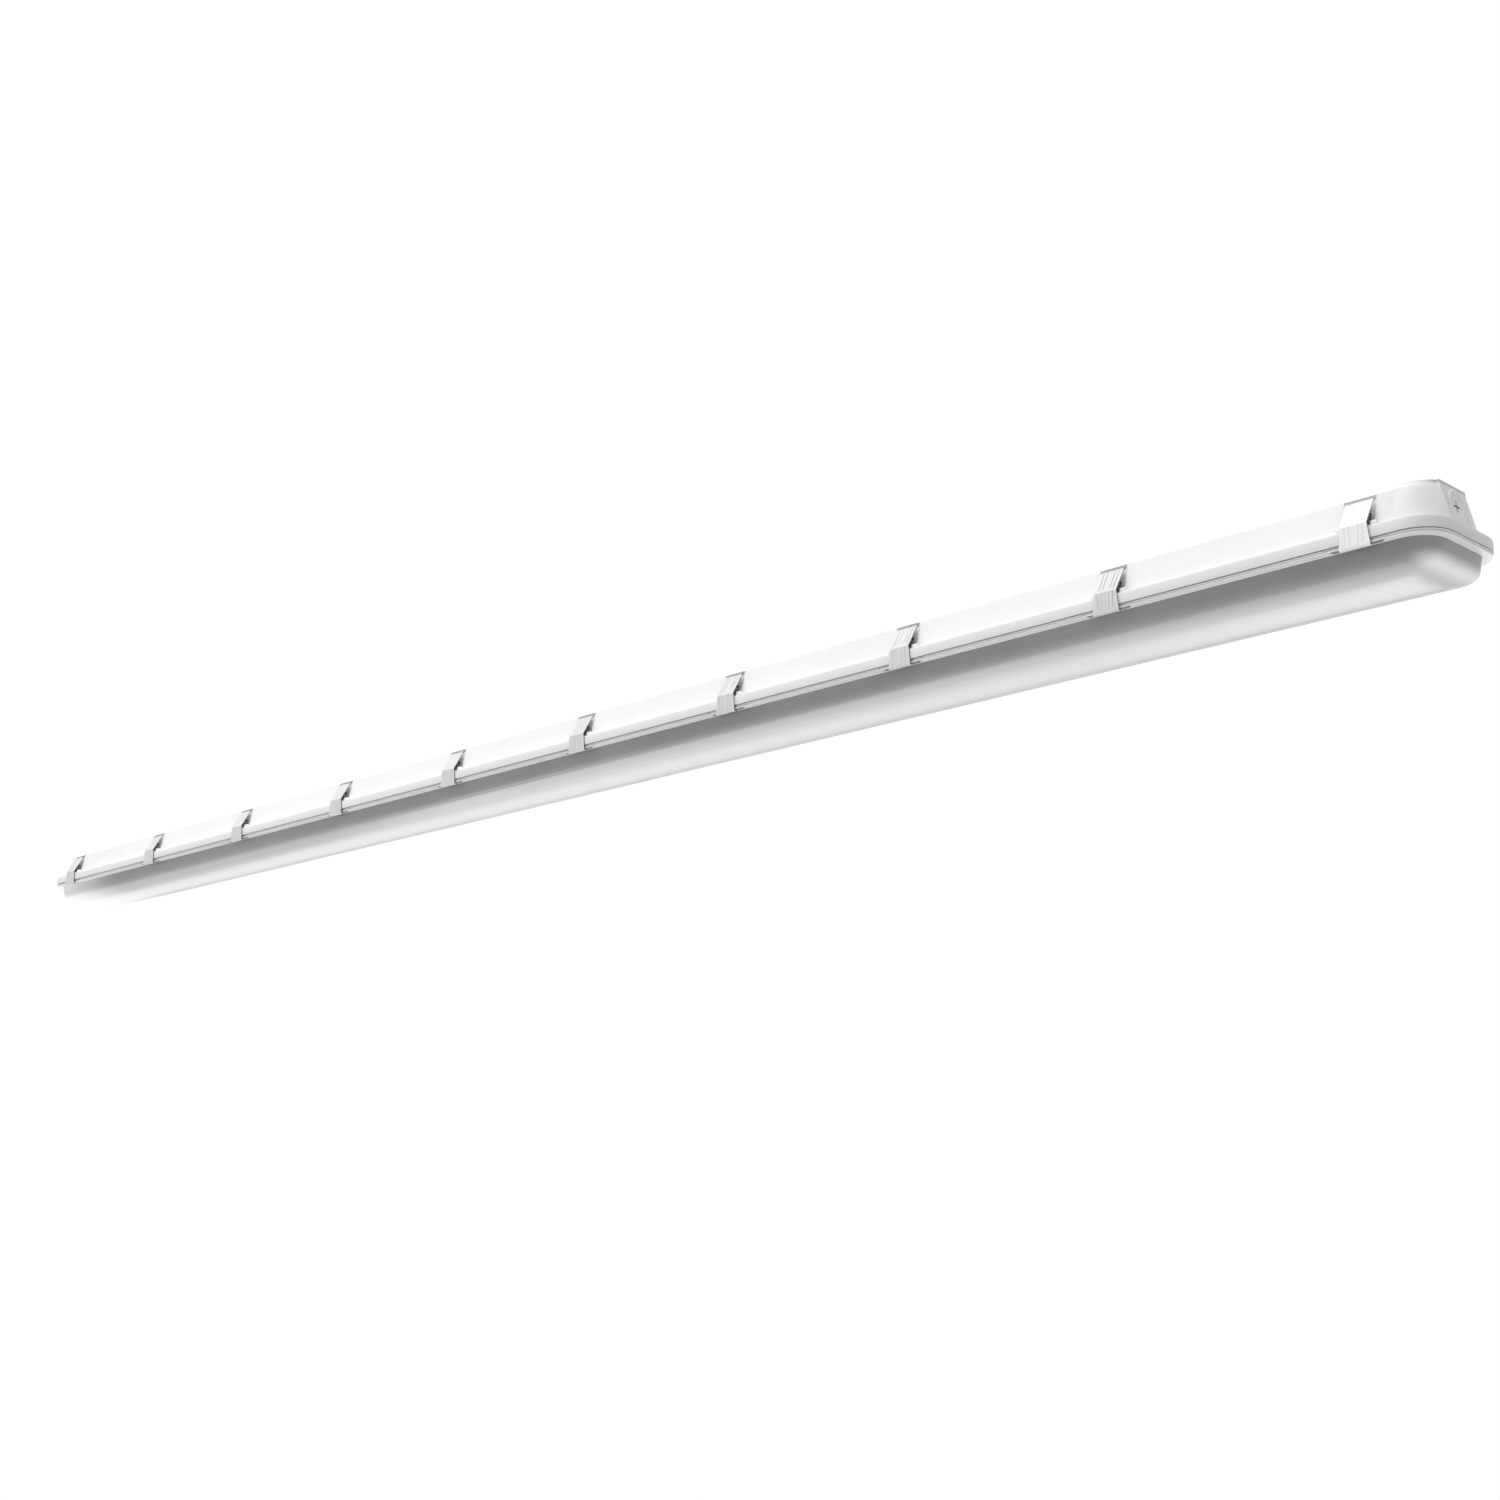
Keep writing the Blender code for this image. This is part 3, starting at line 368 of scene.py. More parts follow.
def brushed_group():
    tree, given, out = new_group("brushed steel", [
        ("Base", "NodeSocketColor", grey(0.8)),
        ("Streak", "NodeSocketColor", grey(0.6)),
        ("Streak Scale", "NodeSocketFloat", 2200.0),
        ("Roughness", "NodeSocketFloat", 0.3)])
    place, _ = add_place(tree)
    rolled = add_stretch(tree, place, ROLLED_STRETCH)
    streak = add_noise(tree, rolled, given["Streak Scale"], 2.0)
    broad = add_noise(tree, rolled, BROAD_SCALE, 1.0)
    smudge = add_noise(tree, place, SMUDGE_SCALE, 4.0)
    worn = add_math(tree, "ADD", add_range(tree, streak, 0.35, 0.75, 0.0, STREAK_SHARE),
                    add_range(tree, broad, 0.40, 0.75, 0.0, STREAK_SHARE))
    put(tree, out["Color"], add_mix(tree, worn, given["Base"], given["Streak"]))
    put(tree, out["Roughness"], add_math(tree, "ADD", given["Roughness"],
                                         add_range(tree, smudge, 0.3, 0.7, -0.06, 0.10)))
    put(tree, out["Normal"], add_bump(tree, streak, *ROLLED_BUMP))
    return tree


BRUSHED = brushed_group()
print("group", BRUSHED.name, len(BRUSHED.nodes), "nodes")

# %% [markdown]
# ## The materials
# Each material holds its own Principled shader and takes its colour, roughness and normal from
# one of the groups. Numbers that are the same all over, such as how metallic it is, are written
# on the shader itself. The numbers are only how light, how rough and how fine each finish is, so
# they stand with its name.

# %% Materials
HOUSING_FOOT = -0.0440


def make_material(name, group, given, **constants):
    """Principled material around a group; constants go on the shader's own sockets."""
    mat = bpy.data.materials.new(name)
    mat.use_nodes = True
    tree = mat.node_tree
    shader = tree.nodes["Principled BSDF"]
    made = add_node(tree, "ShaderNodeGroup", node_tree=group)
    for label, value in given.items():
        made.inputs[label].default_value = value
    for label, socket in (("Color", "Base Color"), ("Roughness", "Roughness"),
                          ("Normal", "Normal")):
        put(tree, shader.inputs[socket], made.outputs[label])
    for label, value in constants.items():
        shader.inputs[label.replace("_", " ")].default_value = value
    return mat


# Foot is painted shade on the rim, and the group darkens the roof's top as painted shade.
housing_white = make_material(
    "housing moulded white", MOULDED,
    {"Base": grey(0.95), "Shade": grey(0.84), "Foot": grey(0.84), "Foot Level": HOUSING_FOOT,
     "Grain Scale": 900.0, "Roughness": 0.40})
shadow_grey = make_material(
    "entry mark painted shade", MOULDED,
    {"Base": grey(0.06), "Shade": grey(0.03), "Grain Scale": 900.0, "Roughness": 0.60})
seal_black = make_material(
    "seal rubber black", MOULDED,
    {"Base": grey(0.05), "Shade": grey(0.03), "Grain Scale": 1600.0, "Roughness": 0.75})
# Flange is the white of the thick flange; End is the colour of the painted light.
cover_frosted = make_material(
    "cover frosted", FROSTED,
    {"Flange": grey(0.97), "End": grey(0.97), "Line Scale": 180.0, "Roughness": 0.34},
    Coat_Weight=0.25, Coat_Roughness=0.18)
# A brighter copy of the satin steel, painted highlight for the nearest latch.
latch_painted_highlight = make_material(
    "latch steel painted highlight", BRUSHED,
    {"Base": (0.92, 0.92, 0.915, 1.0), "Streak": grey(0.78), "Roughness": 0.45}, Metallic=0.4)
latch_satin = make_material(
    "latch steel satin", BRUSHED,
    {"Base": (0.75, 0.745, 0.735, 1.0), "Streak": grey(0.53), "Roughness": 0.42}, Metallic=0.5)
# The wire's near-black steel is painted shade, as it lies behind the lever.
wire_steel_painted_shade = make_material(
    "bail wire steel painted shade", BRUSHED,
    {"Base": grey(0.09), "Streak": grey(0.05), "Streak Scale": 1200.0, "Roughness": 0.35},
    Metallic=1.0)
tray_white = make_material(
    "tray powder coat", MOULDED,
    {"Base": grey(0.78), "Shade": grey(0.70), "Grain Scale": 1400.0, "Roughness": 0.45})
board_white = make_material(
    "board solder mask", MOULDED,
    {"Base": (0.78, 0.79, 0.79, 1.0), "Shade": grey(0.70), "Grain Scale": 600.0,
     "Roughness": 0.35})
chip_yellow = make_material(
    "light chip phosphor", MOULDED,
    {"Base": (0.80, 0.66, 0.24, 1.0), "Shade": (0.72, 0.56, 0.18, 1.0), "Grain Scale": 3000.0,
     "Roughness": 0.45})
driver_steel = make_material(
    "driver case steel", BRUSHED,
    {"Base": grey(0.72), "Streak": grey(0.62), "Roughness": 0.38}, Metallic=0.8)
terminal_grey = make_material(
    "terminal plastic", MOULDED,
    {"Base": (0.72, 0.72, 0.69, 1.0), "Shade": grey(0.62), "Grain Scale": 1200.0,
     "Roughness": 0.50})
screw_steel = make_material(
    "screw steel", BRUSHED,
    {"Base": grey(0.70), "Streak": grey(0.60), "Roughness": 0.30}, Metallic=1.0)
print("materials", len(bpy.data.materials))

# %% [markdown]
# ## Smooth copies of the moulded and folded pieces
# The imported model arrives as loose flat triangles, so light would break into facets on every
# rounded corner. A merged copy shares its normals across gentle corners and keeps its hard edges,
# and a small bevel catches the light as a mould or a folded sheet does. The shape stays the
# model's own, so the copy fits exactly where its node was.

# %% Smooth copies
MERGE = 0.000001
SMOOTH_ANGLE = math.radians(28)
FLAT_ANGLE = math.radians(0.5)
BEVEL_SEGMENTS = 2
COPIES = {
    "housing": (housing_white, 0.0008),
    "diffuser": (cover_frosted, 0.0006),
    "led_tray": (tray_white, 0.0003),
    "led_driver": (driver_steel, 0.0008),
    "terminal_block": (terminal_grey, 0.0006),
    "tray_screw": (screw_steel, 0.0003),
    "driver_screw": (screw_steel, 0.0003),
}


def mesh_of(bm, name):
    """Plain mesh of what a bmesh holds; the bmesh is freed."""
    mesh = bpy.data.meshes.new(name)
    bm.to_mesh(mesh)
    bm.free()
    return mesh


def finish_mesh(mesh, look):
    """Smooth shading with sharp quick turns, and the look in the first material slot."""
    mesh.shade_smooth()
    mesh.set_sharp_from_angle(angle=SMOOTH_ANGLE)
    if not mesh.materials:
        mesh.materials.append(look)
    mesh.materials[0] = look


def place_piece(name, mesh, body, replaced=None):
    """Object at the origin that rides on a body, and stands for a node where one is named."""
    piece = bpy.data.objects.new(name, mesh)
    scene.collection.objects.link(piece)
    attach(piece, body)
    if replaced:
        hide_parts(replaced)
    return piece


def smooth_copy(name, look, width):
    """Merged, bevelled copy of a node's mesh that stands for the node."""
    bm = bmesh.new()
    bm.from_mesh(nodes[name].data)
    bmesh.ops.remove_doubles(bm, verts=bm.verts, dist=MERGE)
    bmesh.ops.dissolve_limit(bm, angle_limit=FLAT_ANGLE, verts=bm.verts, edges=bm.edges)
    mesh = mesh_of(bm, name + "_smooth")
    if "custom_normal" in mesh.attributes:
        mesh.attributes.remove(mesh.attributes["custom_normal"])
    finish_mesh(mesh, look)
    piece = place_piece(name + "_smooth", mesh, nodes[name]["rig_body"], name)
    bevel = piece.modifiers.new("soft edges", "BEVEL")
    bevel.width = width
    bevel.segments = BEVEL_SEGMENTS
    bevel.limit_method = "ANGLE"
    bevel.angle_limit = SMOOTH_ANGLE
    bevel.harden_normals = True


for name in nodes:
    for start, (look, width) in COPIES.items():
        if name.startswith(start):
            smooth_copy(name, look, width)

# %% [markdown]
# ## The entry marks
# Each end of the housing has a pad where a cable entry can be drilled, with a moulded cross in
# its middle. The cross's groove lies in deep shade. The model only has the groove, so a dark
# inlay fills it to just under the pad's face, as painted shade. Painting the groove by its place
# would also work, but an inlay keeps its edges crisp from every side.

# %% Entry marks
PAD_CENTRE = Vector((1.184838, 0.0, -0.020021))
PAD_OUTWARD = Vector((0.99456, 0.0, 0.10417))
PAD_ACROSS = Vector((0.0, 1.0, 0.0))
MARK_ARM = 0.0108
MARK_BAR = 0.0016
MARK_SINK = 0.0004
MARK_DEPTH = 0.0019


def around(count):
    """Each place on a ring of points together with the next one."""
    return [(i, (i + 1) % count) for i in range(count)]


def pad_frame(end):
    """Middle of the pad on one end, its outward way and its upward way."""
    outward = Vector((end * PAD_OUTWARD.x, 0.0, PAD_OUTWARD.z))
    centre = Vector((end * PAD_CENTRE.x, 0.0, PAD_CENTRE.z))
    return centre, outward, outward.cross(PAD_ACROSS) * end


def entry_mark(end):
    """Closed cross that fills the groove of the pad on one end."""
    centre, outward, upward = pad_frame(end)
    centre -= outward * MARK_SINK
    arm = MARK_ARM / 2
    bar = MARK_BAR / 2
    outline = []
    for along, side in ((PAD_ACROSS, upward), (upward, -PAD_ACROSS),
                        (-PAD_ACROSS, -upward), (-upward, PAD_ACROSS)):
        outline += [centre + along * arm - side * bar, centre + along * arm + side * bar,
                    centre + along * bar + side * bar]
    bm = bmesh.new()
    front = [bm.verts.new(point) for point in outline]
    back = [bm.verts.new(point - outward * MARK_DEPTH) for point in outline]
    bm.faces.new(front)
    bm.faces.new(back[::-1])
    for i, j in around(len(outline)):
        bm.faces.new((front[i], front[j], back[j], back[i]))
    bmesh.ops.recalc_face_normals(bm, faces=bm.faces)
    mesh = mesh_of(bm, "entry_mark")
    # The inlay is painted shade in the groove.
    mesh.materials.append(shadow_grey)
    return mesh


for end, label in ((1, "near"), (-1, "far")):
    place_piece(f"entry_mark_{label}", entry_mark(end), nodes["housing"]["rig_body"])
print("entry marks", 2)

# %% [markdown]
# ## Helpers for Geometry Nodes
# Wire, seal and light chips follow a path or repeat, which is what Geometry Nodes are for. A tree
# is built here with named inputs, run once on a small path or point mesh, and its result is kept
# as a plain mesh, with no live modifiers or instances.

# %% Geometry Nodes helpers


def new_geometry_tree(name, inputs):
    """Geometry tree with named inputs; returns it with its input and output sockets."""
    tree = bpy.data.node_groups.new(name, "GeometryNodeTree")
    tree.interface.new_socket("Geometry", in_out="INPUT", socket_type="NodeSocketGeometry")
    for label, kind, default in inputs:
        socket = tree.interface.new_socket(label, in_out="INPUT", socket_type=kind)
        socket.default_value = default
    tree.interface.new_socket("Geometry", in_out="OUTPUT", socket_type="NodeSocketGeometry")
    return tree, add_node(tree, "NodeGroupInput").outputs, add_node(tree, "NodeGroupOutput").inputs


def add_geometry_node(tree, kind, given, **settings):
    """Geometry node whose inputs are set by name from sockets or values."""
    made = add_node(tree, kind, **settings)
    for label, value in given.items():
        put(tree, made.inputs[label], value)
    return made


def close_tree(tree, out, geometry, look):
    real = add_geometry_node(tree, "GeometryNodeRealizeInstances", {"Geometry": geometry})
    dressed = add_geometry_node(tree, "GeometryNodeSetMaterial",
                                {"Geometry": real.outputs["Geometry"], "Material": look})
    put(tree, out["Geometry"], dressed.outputs["Geometry"])


def run_tree(tree, mesh, values):
    """Plain mesh that the tree makes from a mesh, with inputs set by identifier."""
    carrier = bpy.data.objects.new("carrier", mesh)
    scene.collection.objects.link(carrier)
    modifier = carrier.modifiers.new("tree", "NODES")
    modifier.node_group = tree
    sockets = {item.name: item.identifier for item in tree.interface.items_tree
               if item.in_out == "INPUT"}
    for label, value in values.items():
        modifier[sockets[label]] = value
    carrier.update_tag()
    shape = carrier.evaluated_get(bpy.context.evaluated_depsgraph_get())
    made = bpy.data.meshes.new_from_object(shape)
    carrier.modifiers.remove(modifier)
    bpy.data.objects.remove(carrier, do_unlink=True)
    return made


def add_fillet(tree, curve, radius, count):
    """Curve with its corners rounded; the mode comes first, as it shows the Count socket."""
    return add_geometry_node(tree, "GeometryNodeFilletCurve",
                             {"Curve": curve, "Radius": radius, "Count": count},
                             mode="POLY").outputs["Curve"]


def path_mesh(points, closed=False):
    """Mesh of edges along a path, for a tree to turn into a curve."""
    edges = [(i, i + 1) for i in range(len(points) - 1)]
    if closed:
        edges.append((len(points) - 1, 0))
    mesh = bpy.data.meshes.new("path")
    mesh.from_pydata([tuple(point) for point in points], edges, [])
    return mesh


print("node groups before any sweep", [group.name for group in bpy.data.node_groups])

# %% [markdown]
# ## The seal
# A black rubber cord lies in the channel of the rim, and the cover presses into it. It is one
# closed sweep: a rounded section that follows the rim's outline. The path comes from the rim's
# own corner radius, and the section is the room between the channel's walls. Modelling it as a
# stretched block would lose its soft shoulders.

# %% Seal
SEAL_LOW, SEAL_HIGH = (Vector(corner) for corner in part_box("seal"))
SEAL_WIDTH = 0.0047
SEAL_HEIGHT = SEAL_HIGH.z - SEAL_LOW.z
SEAL_CORNER_RADIUS = 0.02815
SEAL_CORNER_STEPS = 10
SEAL_ROUND = 0.0008
SEAL_ROUND_STEPS = 3


def seal_tree():
    tree, given, out = new_geometry_tree("seal sweep", [
        ("Width", "NodeSocketFloat", SEAL_WIDTH),
        ("Height", "NodeSocketFloat", SEAL_HEIGHT),
        ("Round", "NodeSocketFloat", SEAL_ROUND),
        ("Look", "NodeSocketMaterial", None)])
    path = add_geometry_node(tree, "GeometryNodeMeshToCurve", {"Mesh": given["Geometry"]})
    upright = add_geometry_node(tree, "GeometryNodeSetCurveNormal",
                                {"Curve": path.outputs["Curve"]}, mode="Z_UP")
    section = add_geometry_node(tree, "GeometryNodeCurvePrimitiveQuadrilateral",
                                {"Width": given["Width"], "Height": given["Height"]})
    rounded = add_fillet(tree, section.outputs["Curve"], given["Round"], SEAL_ROUND_STEPS)
    sweep = add_geometry_node(tree, "GeometryNodeCurveToMesh",
                              {"Curve": upright.outputs["Curve"], "Profile Curve": rounded})
    close_tree(tree, out, sweep.outputs["Mesh"], given["Look"])
    return tree


def seal_path():
    """Middle line of the channel, as a rounded rectangle at the seal's middle level."""
    radius = SEAL_CORNER_RADIUS
    half_x = SEAL_HIGH.x - SEAL_WIDTH / 2 - radius
    half_y = SEAL_HIGH.y - SEAL_WIDTH / 2 - radius
    level = (SEAL_LOW.z + SEAL_HIGH.z) / 2
    points = []
    for quarter, (sx, sy) in enumerate(((1, -1), (1, 1), (-1, 1), (-1, -1))):
        for step in range(SEAL_CORNER_STEPS + 1):
            angle = math.pi / 2 * (quarter - 1 + step / SEAL_CORNER_STEPS)
            points.append((sx * half_x + radius * math.cos(angle),
                           sy * half_y + radius * math.sin(angle), level))
    return path_mesh(points, closed=True)


seal_mesh = run_tree(seal_tree(), seal_path(),
                     {"Width": SEAL_WIDTH, "Height": SEAL_HEIGHT, "Round": SEAL_ROUND,
                      "Look": seal_black})
finish_mesh(seal_mesh, seal_black)
place_piece("seal_cord", seal_mesh, nodes["seal"]["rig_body"], "seal")
print("seal faces", len(seal_mesh.polygons), "height", round(SEAL_HEIGHT, 4))

# %% [markdown]
# ## The bail wires
# Each latch hangs on one bent wire: its two ends turn out into the lugs, its legs lean in behind
# the lever, and its top bar carries the lever's ears. A bent wire is a polyline with its corners
# rounded and a circle swept along it, and all twenty are the same tree on twenty paths.

# %% Bail wires
PITCH = 0.25
LATCHES_PER_SIDE = 10
LUG_PIVOT = Vector((0.0598, -0.0379))
BAR_PIVOT = Vector((0.057391, -0.028092))
WIRE_LEG = 0.01225
WIRE_END = 0.01685
WIRE_RADIUS = 0.0008
WIRE_BEND = 0.0014
WIRE_BEND_STEPS = 5
WIRE_SIDES = 14


def wire_tree():
    tree, given, out = new_geometry_tree("bent wire", [
        ("Wire Radius", "NodeSocketFloat", WIRE_RADIUS),
        ("Bend Radius", "NodeSocketFloat", WIRE_BEND),
        ("Sides", "NodeSocketInt", WIRE_SIDES),
        ("Look", "NodeSocketMaterial", None)])
    path = add_geometry_node(tree, "GeometryNodeMeshToCurve", {"Mesh": given["Geometry"]})
    bent = add_fillet(tree, path.outputs["Curve"], given["Bend Radius"], WIRE_BEND_STEPS)
    ring = add_geometry_node(tree, "GeometryNodeCurvePrimitiveCircle",
                             {"Resolution": given["Sides"], "Radius": given["Wire Radius"]})
    sweep = add_geometry_node(tree, "GeometryNodeCurveToMesh",
                              {"Curve": bent, "Profile Curve": ring.outputs["Curve"],
                               "Fill Caps": True})
    close_tree(tree, out, sweep.outputs["Mesh"], given["Look"])
    return tree


def wire_path(x, side):
    """Corners of one bail: out of one lug, up a leg, across the bar, down and into the other."""
    flat = [(-WIRE_END, 0.0), (-WIRE_LEG, 0.0), (-WIRE_LEG, 1.0),
            (WIRE_LEG, 1.0), (WIRE_LEG, 0.0), (WIRE_END, 0.0)]
    points = []
    for across, share in flat:
        place = LUG_PIVOT.lerp(BAR_PIVOT, share)
        points.append((x + across, side * place.x, place.y))
    return path_mesh(points)


def latch_places():
    """Name, X and side of each latch, in the model's own order."""
    for label, side in (("front", -1), ("back", 1)):
        for index in range(LATCHES_PER_SIDE):
            x = (index - (LATCHES_PER_SIDE - 1) / 2) * PITCH
            yield f"{label}_{index + 1:02d}", x, side


WIRE_TREE = wire_tree()
for place, x, side in latch_places():
    wire = run_tree(WIRE_TREE, wire_path(x, side),
                    {"Wire Radius": WIRE_RADIUS, "Bend Radius": WIRE_BEND,
                     "Sides": WIRE_SIDES, "Look": wire_steel_painted_shade})
    finish_mesh(wire, wire_steel_painted_shade)
    place_piece(f"bail_wire_{place}", wire, nodes[f"bail_{place}"]["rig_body"], f"bail_{place}")
print("bail wires", 2 * LATCHES_PER_SIDE, "faces each", len(wire.polygons))

# %% [markdown]
# ## Ribs around the entry pads
# In the photograph a soft light line runs around the pad of the entry: up one side, over the
# top and down the other. It is a low moulded rib that guides a hole saw. It could be a bevelled
# strip, but a sweep like the wire, with half of its round section sunk in the pad, follows the
# arch with the tree that is already there.

# %% Pad ribs
RIB_RADIUS = 0.0010
RIB_REACH = 0.0112
RIB_RISE = 0.0034
RIB_FOOT = 0.0185
RIB_STEPS = 14


def rib_path(end):
    """Arch around one entry pad, from its foot over the top and down again."""
    centre, _, upward = pad_frame(end)
    centre += upward * RIB_RISE
    foot = upward * RIB_FOOT
    points = [centre + PAD_ACROSS * RIB_REACH - foot]
    for step in range(RIB_STEPS + 1):
        angle = math.pi * step / RIB_STEPS
        points.append(centre + PAD_ACROSS * RIB_REACH * math.cos(angle)
                      + upward * RIB_REACH * math.sin(angle))
    points.append(centre - PAD_ACROSS * RIB_REACH - foot)
    return path_mesh(points)


for end, label in ((1, "near"), (-1, "far")):
    rib = run_tree(WIRE_TREE, rib_path(end),
                   {"Wire Radius": RIB_RADIUS, "Bend Radius": RIB_RADIUS, "Sides": WIRE_SIDES,
                    "Look": housing_white})
    finish_mesh(rib, housing_white)
    place_piece(f"pad_rib_{label}", rib, nodes["housing"]["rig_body"])
print("pad ribs", 2, "faces each", len(rib.polygons))

# %% [markdown]
# ## The latch levers
# A lever is one strip of steel: a hook that catches the cover, a lower plate against the rim, and
# an upper plate that leans in over the wall and ends in a small lip. Four lines are pressed into
# each plate to stiffen it, and they end in round dots near the hook. The strip is made as a grid
# of points, some steps along a path with rounded bends and some steps across, because then the
# pressed lines are simply points pushed in. Cutting them with Booleans would leave hard slots.

# %% Lever path
HOOK_TIP = Vector((0.0618, -0.0566))
HOOK_BEND = Vector((0.0652, -0.0566))
PLATE_BEND = Vector((0.0652, -0.0374))
PLATE_TOP = Vector((0.0514, -0.0135))
LIP_TIP = Vector((0.0522, -0.0125))
HOOK_RADIUS = 0.0005
PLATE_RADIUS = 0.0012
LIP_RADIUS = 0.0004
SHEET = 0.0009
BEND_STEPS = 4
LOWER_SHARES = (0.13, 0.16, 0.19, 0.22, 0.25, 0.50, 0.75, 0.90, 0.95)
UPPER_SHARES = (0.06, 0.10, 0.30, 0.50, 0.70, 0.86, 0.90)


def rounded_bend(before, corner, after, radius):
    """Points of an arc that rounds one corner of a path."""
    into = (corner - before).normalized()
    out = (after - corner).normalized()
    half = into.angle(out) / 2
    reach = radius * math.tan(half)
    centre_way = (out - into).normalized()
    centre = corner + centre_way * radius / math.cos(half)
    start = corner - into * reach - centre
    turn = into.angle_signed(out)
    points = []
    for step in range(BEND_STEPS + 1):
        angle = -turn * step / BEND_STEPS
        points.append(centre + Vector((start.x * math.cos(angle) - start.y * math.sin(angle),
                                       start.x * math.sin(angle) + start.y * math.cos(angle))))
    return points


def straight(first, last, shares):
    return [first.lerp(last, share) for share in shares]


def lever_path():
    """Inner face of the sheet from hook to lip, with more points where pressed lines end."""
    low = rounded_bend(HOOK_TIP, HOOK_BEND, PLATE_BEND, HOOK_RADIUS)
    middle = rounded_bend(HOOK_BEND, PLATE_BEND, PLATE_TOP, PLATE_RADIUS)
    high = rounded_bend(PLATE_BEND, PLATE_TOP, LIP_TIP, LIP_RADIUS)
    path = [HOOK_TIP] + low + straight(low[-1], middle[0], LOWER_SHARES)
    path += middle + straight(middle[-1], high[0], UPPER_SHARES)
    return path + high + [LIP_TIP]


LEVER_PATH = lever_path()
print("lever path points", len(LEVER_PATH))

# %% [markdown]
# ## Pressed lines across the lever
# The strip's width changes from hook to top, and the pressed lines don't. So the steps across
# are laid out in metres for the lines, and the edges follow the width. The upper lines are
# darker than the plate, with painted shade in the grooves. So the faces at their foot get a
# material slot of their own here, and so do the cut edges of the strip, which get painted shade
# too. Painting the lines by their place would also do, but slots are crisp and move with the
# lever.

# %% Lever sheet
EDGE_SLOT = 1
LINE_SLOT = 2
TAB_SLOT = 3
WIDTHS = ((-0.0566, 0.0288), (-0.0374, 0.0246), (-0.0135, 0.0262))
HOOK_WIDTH = 0.0276
LINE_PLACES = (-0.00835, -0.00415, 0.00415, 0.00835)
LINE_HALF = 0.0006
LINE_DEPTH = 0.00045
DOT_HALF = 0.0011
DOT_SHARES = (-1.0, -0.55, -0.25, 0.25, 0.55, 1.0)
DOT_REACH = 0.9
MIDDLE_STEP = 0.0021
LOWER_LINES = (-0.0534, -0.0386)
UPPER_LINES = (-0.0350, -0.0160)
DOT_LEVELS = (-0.0541, -0.0524)


def sheet_width(point):
    """Width of the strip at one point of its path; the hook is cut a little narrower."""
    if point.x < HOOK_BEND.x - SHEET and point.y < PLATE_BEND.y - SHEET:
        return HOOK_WIDTH
    for (low, start), (high, end) in zip(WIDTHS, WIDTHS[1:]):
        if point.y <= high:
            share = max(0.0, (point.y - low) / (high - low))
            return start + (end - start) * share
    return WIDTHS[-1][1]


def across_steps():
    """Places of the columns of points between the two edges."""
    steps = [0.0]
    for middle in LINE_PLACES:
        steps += [middle + share * DOT_HALF for share in DOT_SHARES]
    return sorted(steps + [MIDDLE_STEP, -MIDDLE_STEP])


def pressed_depth(across, level, lower):
    """How far one point of the sheet is pushed in by the line or dot nearest to it."""
    offset = min(abs(across - middle) for middle in LINE_PLACES)
    start, stop = LOWER_LINES if lower else UPPER_LINES
    if lower and DOT_LEVELS[0] <= level <= DOT_LEVELS[1] and offset < DOT_HALF * DOT_REACH:
        return LINE_DEPTH
    if start <= level <= stop and offset < LINE_HALF:
        return LINE_DEPTH
    return 0.0


def path_normals(path):
    normals = []
    for i, _ in enumerate(path):
        along = path[min(i + 1, len(path) - 1)] - path[max(i - 1, 0)]
        normals.append(Vector((along.y, -along.x)).normalized())
    return normals


def add_sheet(bm, x, side):
    """Closed strip of sheet: an outer and an inner grid, joined around the edge."""
    columns = across_steps()
    grids = []
    sunk = set()
    for thickness in (SHEET, 0.0):
        grid = []
        for point, normal in zip(LEVER_PATH, path_normals(LEVER_PATH)):
            half = sheet_width(point) / 2
            lower = point.y < PLATE_BEND.y
            row = []
            for across in [-half] + columns + [half]:
                pressed = pressed_depth(across, point.y, lower)
                place = point + normal * (thickness - pressed)
                row.append(bm.verts.new((x + across, side * place.x, place.y)))
                if pressed and not lower:
                    sunk.add(row[-1])
            grid.append(row)
        grids.append(grid)
    outer, inner = grids
    for grid, flipped in ((outer, side > 0), (inner, side < 0)):
        for a, b in zip(grid, grid[1:]):
            for i in range(len(a) - 1):
                corners = (a[i], a[i + 1], b[i + 1], b[i])
                face = bm.faces.new(corners[::-1] if flipped else corners)
                # Painted shade: the faces at the foot of the upper lines take the line material.
                if sunk.issuperset(corners):
                    face.material_index = LINE_SLOT
    rim_out = [row[0] for row in outer] + outer[-1][1:-1]
    rim_out += [row[-1] for row in reversed(outer)] + outer[0][-2:0:-1]
    rim_in = [row[0] for row in inner] + inner[-1][1:-1]
    rim_in += [row[-1] for row in reversed(inner)] + inner[0][-2:0:-1]
    # Painted shade: the cut edges take the dark edge material.
    for i, j in around(len(rim_out)):
        edge = bm.faces.new((rim_out[i], rim_out[j], rim_in[j], rim_in[i]))
        edge.material_index = EDGE_SLOT


print("columns across", len(across_steps()) + 2)

# %% [markdown]
# ## Ears and side tabs of the lever
# Two ears are lanced out of the sheet and wrap around the wire's bar, and a short tab is folded
# back from each side at the bend. Both are flat blanks with a thickness. An ear is a ring of
# points around the bar whose outer row is drawn out to a neck, and a tab is a plain outline. They
# could be cut from the sheet, but separate closed blanks keep their edges clean.

# %% Lever ears and tabs
EAR_SPACING = 0.018
EAR_RADIUS = 0.0019
EAR_SHEET = 0.0009
EAR_HOLE = 0.00105
EAR_POINTS = 16
NECK_WAY = 0.4
NECK_MIDDLE_WAY = 0.99
TAB_OFFSET = 0.01165
TAB_SHEET = 0.0008
TAB_OUTLINE = ((0.0654, -0.0386), (0.0620, -0.0386), (0.0618, -0.0362), (0.0600, -0.0325),
               (0.0621, -0.0316), (0.0648, -0.0362))


